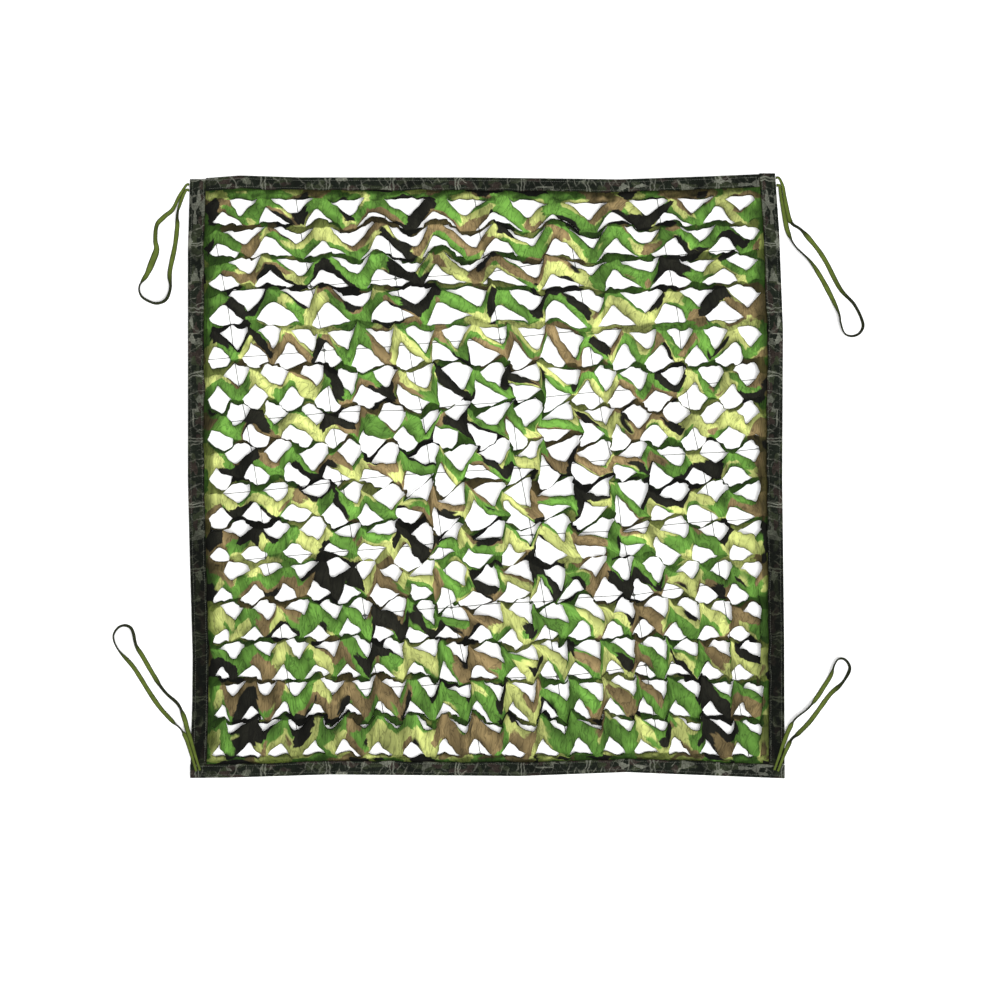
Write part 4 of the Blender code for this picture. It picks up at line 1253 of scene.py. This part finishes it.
def band_points(kind, upper, lower, opened, places, down, settings):
    """One strip's points, flat places and values: rows of points on straight lines between its
    two edges. A row next to an open edge lies a hem's width in, and the edge curls down.

    The height added is the sum of an arch across the strip, ridged pleats across its length (the
    depth below a ridge is how far a sum of waves in the flat cloth is from 0), and in the header
    and footer level folds, which are darker in their valleys. places is along the flat cloth,
    down its depth there, both in mm.
    """
    span = lower - upper
    base = np.array(BAND_ROWS[kind], dtype=float)[:, None]
    inset = np.minimum(HEM / np.linalg.norm(span, axis=1), HEM_MOST)
    share = np.where((base > 0) & (base < 1), np.clip(base, inset, 1 - inset), base + 0 * inset)
    band = upper[None] + span[None] * share[:, :, None]
    x, y = band[:, :, 0], band[:, :, 1]
    flat = np.stack((places + 0 * share, down + share * BAND_FLAT[kind]), axis=2)
    arch, pleat, fold = BAND_FORM[kind]
    seed = SEEDS["cloth"]
    middle = 4 * share * (1 - share)
    ridges = np.abs(rumple(flat[:, :, 0], flat[:, :, 1] * PLEAT_SPREAD, PLEAT_LENGTH, seed + 2))
    level_folds = rumple(x * FOLD_SPREAD, y, FOLD_LENGTH, seed + 4)
    uneven = ARCH_UNEVEN[0] * rumple(x, y, ARCH_UNEVEN[1], seed + 1)
    lift = arch * middle * (1 + uneven) - pleat * ridges
    lift = lift + fold * middle * (1 + level_folds)
    lift = lift * smooth_step(np.minimum(*to_binding(x, y)) / CLEAR)
    shade = FOLD_SHADE * np.clip(0.4 - level_folds, 0, 1) * (fold > 0)
    edge = np.zeros(share.shape)
    edge[0], edge[-1] = opened
    hem = np.zeros(share.shape)
    hem[1], hem[-2] = opened
    band[:, :, 2] += lift - settings.curl * edge
    return band, flat * MM, np.maximum(edge, HEM_TRIM * hem), shade


def sew_bands(bands, heights, bonded, total):
    """Each strip's grid of point numbers, from a total on. Where two strips meet, or are bonded
    beside a slit, the lower one's first row takes the numbers of the upper one's last."""
    count = bonded.shape[1]
    numbers = []
    for rows in heights:
        numbers.append(np.arange(rows * count).reshape(rows, count) + total)
        total += rows * count
    for before, after, (_, _, lower), (_, start, _) in zip(numbers, numbers[1:], bands, bands[1:]):
        joined = bonded[lower] | (start == lower)
        after[0, joined] = before[-1, joined]
    return numbers


def cloth_strips(settings):
    """Every strip of the sheet, block by block: lists of points in mm, flat places, trim and dark
    values, and the faces that sew them together."""
    rows = settings.rows
    bounds = block_bounds(rows)
    grids = [cloth_grid(round(settings.columns * block[0]), rows) for block in BLOCKS]
    down, total = 0.0, 0
    values = ([], [], [], [])
    faces = []
    row_above = None
    for number, (net, bonded, opened, places, rise) in enumerate(grids):
        bands = block_bands(bounds[number], bounds[number + 1], rows)
        start = len(values[0])
        for kind, upper, lower in bands:
            if upper is None:
                edges = (halfway(net[lower], grids[number - 1][0][lower - 1]), net[lower])
            elif lower is None:
                edges = (net[upper], halfway(net[upper], grids[number + 1][0][upper + 1]))
            else:
                edges = (net[upper], net[lower])
            sides = [opened[line] if line is not None else 0.0 for line in (upper, lower)]
            *made, shade = band_points(kind, *edges, sides, places * FLAT_WIDE, down, settings)
            if kind == "zigzag":
                shade = ARM_SHADE * rise + 0 * shade
            if kind.startswith("strand"):
                shade = STRAND_SHADE * (1.0 if kind == "strand" else JOINING_SHADE) + 0 * shade
            for known, new in zip(values, (*made, shade)):
                known.append(new)
            down += BAND_FLAT[kind]
        numbers = sew_bands(bands, [len(band) for band in values[0][start:]], bonded, total)
        total += sum(grid.size for grid in numbers)
        for grid in numbers:
            corners = (grid[:-1, :-1], grid[1:, :-1], grid[1:, 1:], grid[:-1, 1:])
            faces += np.stack(corners, axis=2).reshape(-1, 4).tolist()
        if row_above is not None:
            faces += zip_rows(row_above[0], numbers[0][0], row_above[1], values[0][start][0, :, 0]).tolist()
        row_above = (numbers[-1][-1], values[0][-1][-1, :, 0])
    return values, faces


def make_cloth(settings, material):
    """The sheet as strips of quads between the lattice's lines: the header, each zigzag, each
    strand and the footer, rumpled all over by sums of waves."""
    (points, uvs, trims, darks), faces = cloth_strips(settings)
    x, y, z = np.concatenate([band.reshape(-1, 3) for band in points]).T
    dark = np.concatenate([values.ravel() for values in darks])
    to_side, to_end = to_binding(x, y)
    inside = smooth_step(np.minimum(to_side, to_end) / CLEAR)
    seed = SEEDS["cloth_fine"]
    stray = STRAND_CRUMPLE[0] * (dark == STRAND_SHADE)
    uneven = SIDE_SHADE_UNEVEN[0] * rumple(x, y, SIDE_SHADE_UNEVEN[1], seed + 5)
    reach = SIDE_SHADE_REACH * (1 + uneven)
    beside = SIDE_SHADE * (1 - smooth_step(np.minimum(to_side, to_end * SIDE_SHADE_ENDS) / reach))
    dark = 1 - (1 - dark) * (1 - beside) * (1 - zone(SHADE, 0.5 + x / TALL, 0.5 - y / TALL))
    (coarse, long), (fine, short) = CLOTH_RUMPLE
    z = z + inside * (coarse * rumple(x, y, long, seed) + fine * (1 + stray) * rumple(x, y, short, seed + 1))
    z = np.where(inside > 0, np.maximum(z, CLOTH_LEAST), z)
    far, length = CLOTH_STRAY
    shift = far * rumple(x, y, length, seed + 2) + stray * rumple(x, y, STRAND_CRUMPLE[1], seed + 4)
    shift = inside * shift
    y = y + inside * far * rumple(x, y, length, seed + 3) + shift
    x = x + shift
    piece = make_piece(
        "camouflage_cloth", np.stack((x, y, z), axis=1) * MM, faces, material,
        np.concatenate([flat.reshape(-1, 2) for flat in uvs]), dark=dark,
        trim=np.concatenate([values.ravel() for values in trims]),
    )
    wall = piece.modifiers.new("thickness", "SOLIDIFY")
    wall.thickness = settings.thickness
    wall.offset = 0.0
    return piece


# ---- sizes and colours a user may change ----


def count_property(name, description, default):
    """A whole number."""
    return bpy.props.IntProperty(name=name, description=description, default=default, min=4)


def number_property(name, description, default):
    """A number without a unit."""
    return bpy.props.FloatProperty(name=name, description=description, default=default)


def length_property(name, description, default):
    """A length in metres."""
    return bpy.props.FloatProperty(
        name=name, description=description, default=default, min=0.0, unit="LENGTH", precision=5
    )


def colour_property(name, description, default):
    """A linear colour."""
    return bpy.props.FloatVectorProperty(
        name=name, description=description, default=default, size=3, min=0.0, max=1.0, subtype="COLOR"
    )


class NetClothSettings(bpy.types.PropertyGroup):
    """The slit cloth's make and print."""

    columns: count_property("Columns", "Repeats of the slits across the middle rows", 15)
    rows: count_property("Rows", "Zigzag ribbons down the net", 15)
    thickness: length_property("Thickness", "Of the cloth", 0.0006)
    curl: number_property("Curl", "Drop of a cut edge, in mm", 1.6)
    green: colour_property("Green", "The print's ground", (0.105, 0.237, 0.038))
    lime: colour_property("Yellow green", "The print's lightest colour", (0.46, 0.50, 0.16))
    earth: colour_property("Earth", "The print's brown", (0.20, 0.145, 0.066))
    charcoal: colour_property("Charcoal", "The print's darkest colour", (0.0105, 0.0105, 0.007))


class NetBindingSettings(bpy.types.PropertyGroup):
    """The binding's print and thread."""

    ground: colour_property("Ground", "Dark green grey", (0.022, 0.028, 0.014))
    light: colour_property("Light", "Faded grey", (0.12, 0.125, 0.10))
    earth: colour_property("Earth", "Charcoal brown", (0.024, 0.018, 0.014))
    dark: colour_property("Dark", "Nearly black green", (0.006, 0.009, 0.005))
    lines: colour_property("Lines", "The lightest of the worn lines", (0.26, 0.26, 0.21))
    thread: colour_property("Thread", "The stitches", (0.16, 0.17, 0.14))


class NetCordSettings(bpy.types.PropertyGroup):
    """The cord net and the tape loops."""

    thickness: length_property("Cord", "Thickness of the cord net's cords", 0.0016)
    colour: colour_property("Cord colour", "Dark grey", (0.09, 0.095, 0.085))
    tape_thickness: length_property("Tape", "Thickness of the tape loops", 0.0009)
    tape: colour_property("Tape colour", "Olive green", (0.072, 0.100, 0.015))


class NetStageSettings(bpy.types.PropertyGroup):
    """The floor, the light and the camera."""

    floor: colour_property("Floor", "Plain and pale", (0.97, 0.97, 0.965))
    sky: number_property("Sky", "Strength of the light all round", 1.2)
    lamp: number_property("Lamp", "Strength of the one-sided soft light", 2.2)
    lens: number_property("Lens", "Focal length, in mm", 85.0)


# ---- operators ----


class NET_OT_ties(bpy.types.Operator):
    """Make the four tape loops, each a free cord from its corner and back to it"""

    bl_idname = "net.ties"
    bl_label = "Tape loops"

    def execute(self, context):
        settings = context.scene.net_cords
        material = woven_tape(settings.tape)
        for name, rows in TIES.items():
            piece, path = make_tie("tape_" + name, rows, settings.tape_thickness / MM, material)
            settle(piece, "tie_tape", name)
        return {"FINISHED"}


class NET_OT_backing(bpy.types.Operator):
    """Make the cord net that lies behind the cloth, with its knots"""

    bl_idname = "net.backing"
    bl_label = "Cord net"

    def execute(self, context):
        settings = context.scene.net_cords
        piece = make_backing(settings.thickness / MM, twisted_cord(settings.colour))
        settle(piece, "backing_cord", "backing_net")
        return {"FINISHED"}


class NET_OT_binding(bpy.types.Operator):
    """Make the four folded strips of the binding and their stitches"""

    bl_idname = "net.binding"
    bl_label = "Binding"

    def execute(self, context):
        settings = context.scene.net_binding
        colours = (settings.ground, settings.light, settings.earth, settings.dark, settings.lines)
        material = binding_cloth(*colours)
        for side in sorted(OUTLINE):
            settle(make_binding(side, material), "binding_tape", "binding_" + side)
        thread, _, shader = new_material("thread")
        shader.inputs["Base Color"].default_value = (*settings.thread, 1.0)
        settle(make_stitches(thread), "binding_tape")
        return {"FINISHED"}


class NET_OT_cloth(bpy.types.Operator):
    bl_idname = "net.cloth"
    bl_label = "Slit cloth"

    def execute(self, context):
        settings = context.scene.net_cloth
        colours = (settings.green, settings.lime, settings.earth, settings.charcoal)
        piece = make_cloth(settings, printed_cloth(colours))
        settle(piece, "camo_cloth", "camo_cloth")
        return {"FINISHED"}


class NET_OT_stage(bpy.types.Operator):
    """Make the floor, the light and the camera straight above"""

    bl_idname = "net.stage"
    bl_label = "Stage"

    def execute(self, context):
        settings = context.scene.net_stage
        floor_material = bpy.data.materials.new("floor")
        floor_material.use_nodes = True
        shader = floor_material.node_tree.nodes["Principled BSDF"]
        shader.inputs["Base Color"].default_value = (*settings.floor, 1.0)
        shader.inputs["Roughness"].default_value = 1.0
        shader.inputs["Specular IOR Level"].default_value = 0.0
        corners = np.array(((-1, -1), (1, -1), (1, 1), (-1, 1))) * FLOOR_HALF
        corners = np.column_stack((corners, np.full(4, -FLOOR_LOW)))
        floor = make_piece("floor", corners, [(0, 1, 2, 3)], floor_material)
        world = bpy.data.worlds.new("sky")
        world.use_nodes = True
        sky = world.node_tree.nodes["Background"]
        sky.inputs["Color"].default_value = (1.0, 1.0, 1.0, 1.0)
        sky.inputs["Strength"].default_value = settings.sky
        context.scene.world = world
        lamp = bpy.data.lights.new("lamp", "SUN")
        lamp.angle = np.radians(LAMP_SOFTNESS)
        lamp.energy = settings.lamp
        lamp_object = bpy.data.objects.new("lamp", lamp)
        lamp_object.rotation_euler = (0.0, np.radians(90.0 - LAMP_ELEVATION), np.radians(LAMP_AZIMUTH))
        context.scene.collection.objects.link(lamp_object)
        camera = bpy.data.cameras.new("camera")
        camera.lens = settings.lens
        camera_object = bpy.data.objects.new("camera", camera)
        middle = np.subtract(500.0, NET_CENTRE_PIXEL) * (PIXEL * MM, -PIXEL * MM)
        distance = 1000 * PIXEL * MM * settings.lens / camera.sensor_width
        camera_object.location = (*middle, distance)
        context.scene.collection.objects.link(camera_object)
        context.scene.camera = camera_object
        context.scene.view_settings.view_transform = "Standard"
        return {"FINISHED"}


class NET_PT_sidebar(bpy.types.Panel):
    """Lists the net's pieces and their settings"""

    bl_label = "Camouflage net"
    bl_idname = "NET_PT_sidebar"
    bl_space_type = "VIEW_3D"
    bl_region_type = "UI"
    bl_category = "Net"

    def draw(self, context):
        for settings, operators in SECTIONS:
            box = self.layout.box()
            owner = getattr(context.scene, settings)
            for key in owner.__annotations__:
                box.prop(owner, key)
            for operator in operators:
                box.operator(operator)


SECTIONS = (
    ("net_cords", ("net.ties", "net.backing")),
    ("net_binding", ("net.binding",)),
    ("net_cloth", ("net.cloth",)),
    ("net_stage", ("net.stage",)),
)
SETTINGS = {
    "net_cords": NetCordSettings,
    "net_binding": NetBindingSettings,
    "net_cloth": NetClothSettings,
    "net_stage": NetStageSettings,
}
CLASSES = (
    *SETTINGS.values(),
    NET_OT_ties,
    NET_OT_backing,
    NET_OT_binding,
    NET_OT_cloth,
    NET_OT_stage,
    NET_PT_sidebar,
)


def register():
    """Add the classes and the scene's settings."""
    for kind in CLASSES:
        bpy.utils.register_class(kind)
    for name, kind in SETTINGS.items():
        setattr(bpy.types.Scene, name, bpy.props.PointerProperty(type=kind))


def unregister():
    """Take them away again, in the reverse order."""
    for name in SETTINGS:
        delattr(bpy.types.Scene, name)
    for kind in reversed(CLASSES):
        bpy.utils.unregister_class(kind)


def main():
    """Call each operator in turn."""
    register()
    for _, operators in SECTIONS:
        for operator in operators:
            family, name = operator.split(".")
            getattr(getattr(bpy.ops, family), name)()


if __name__ == "__main__":
    main()
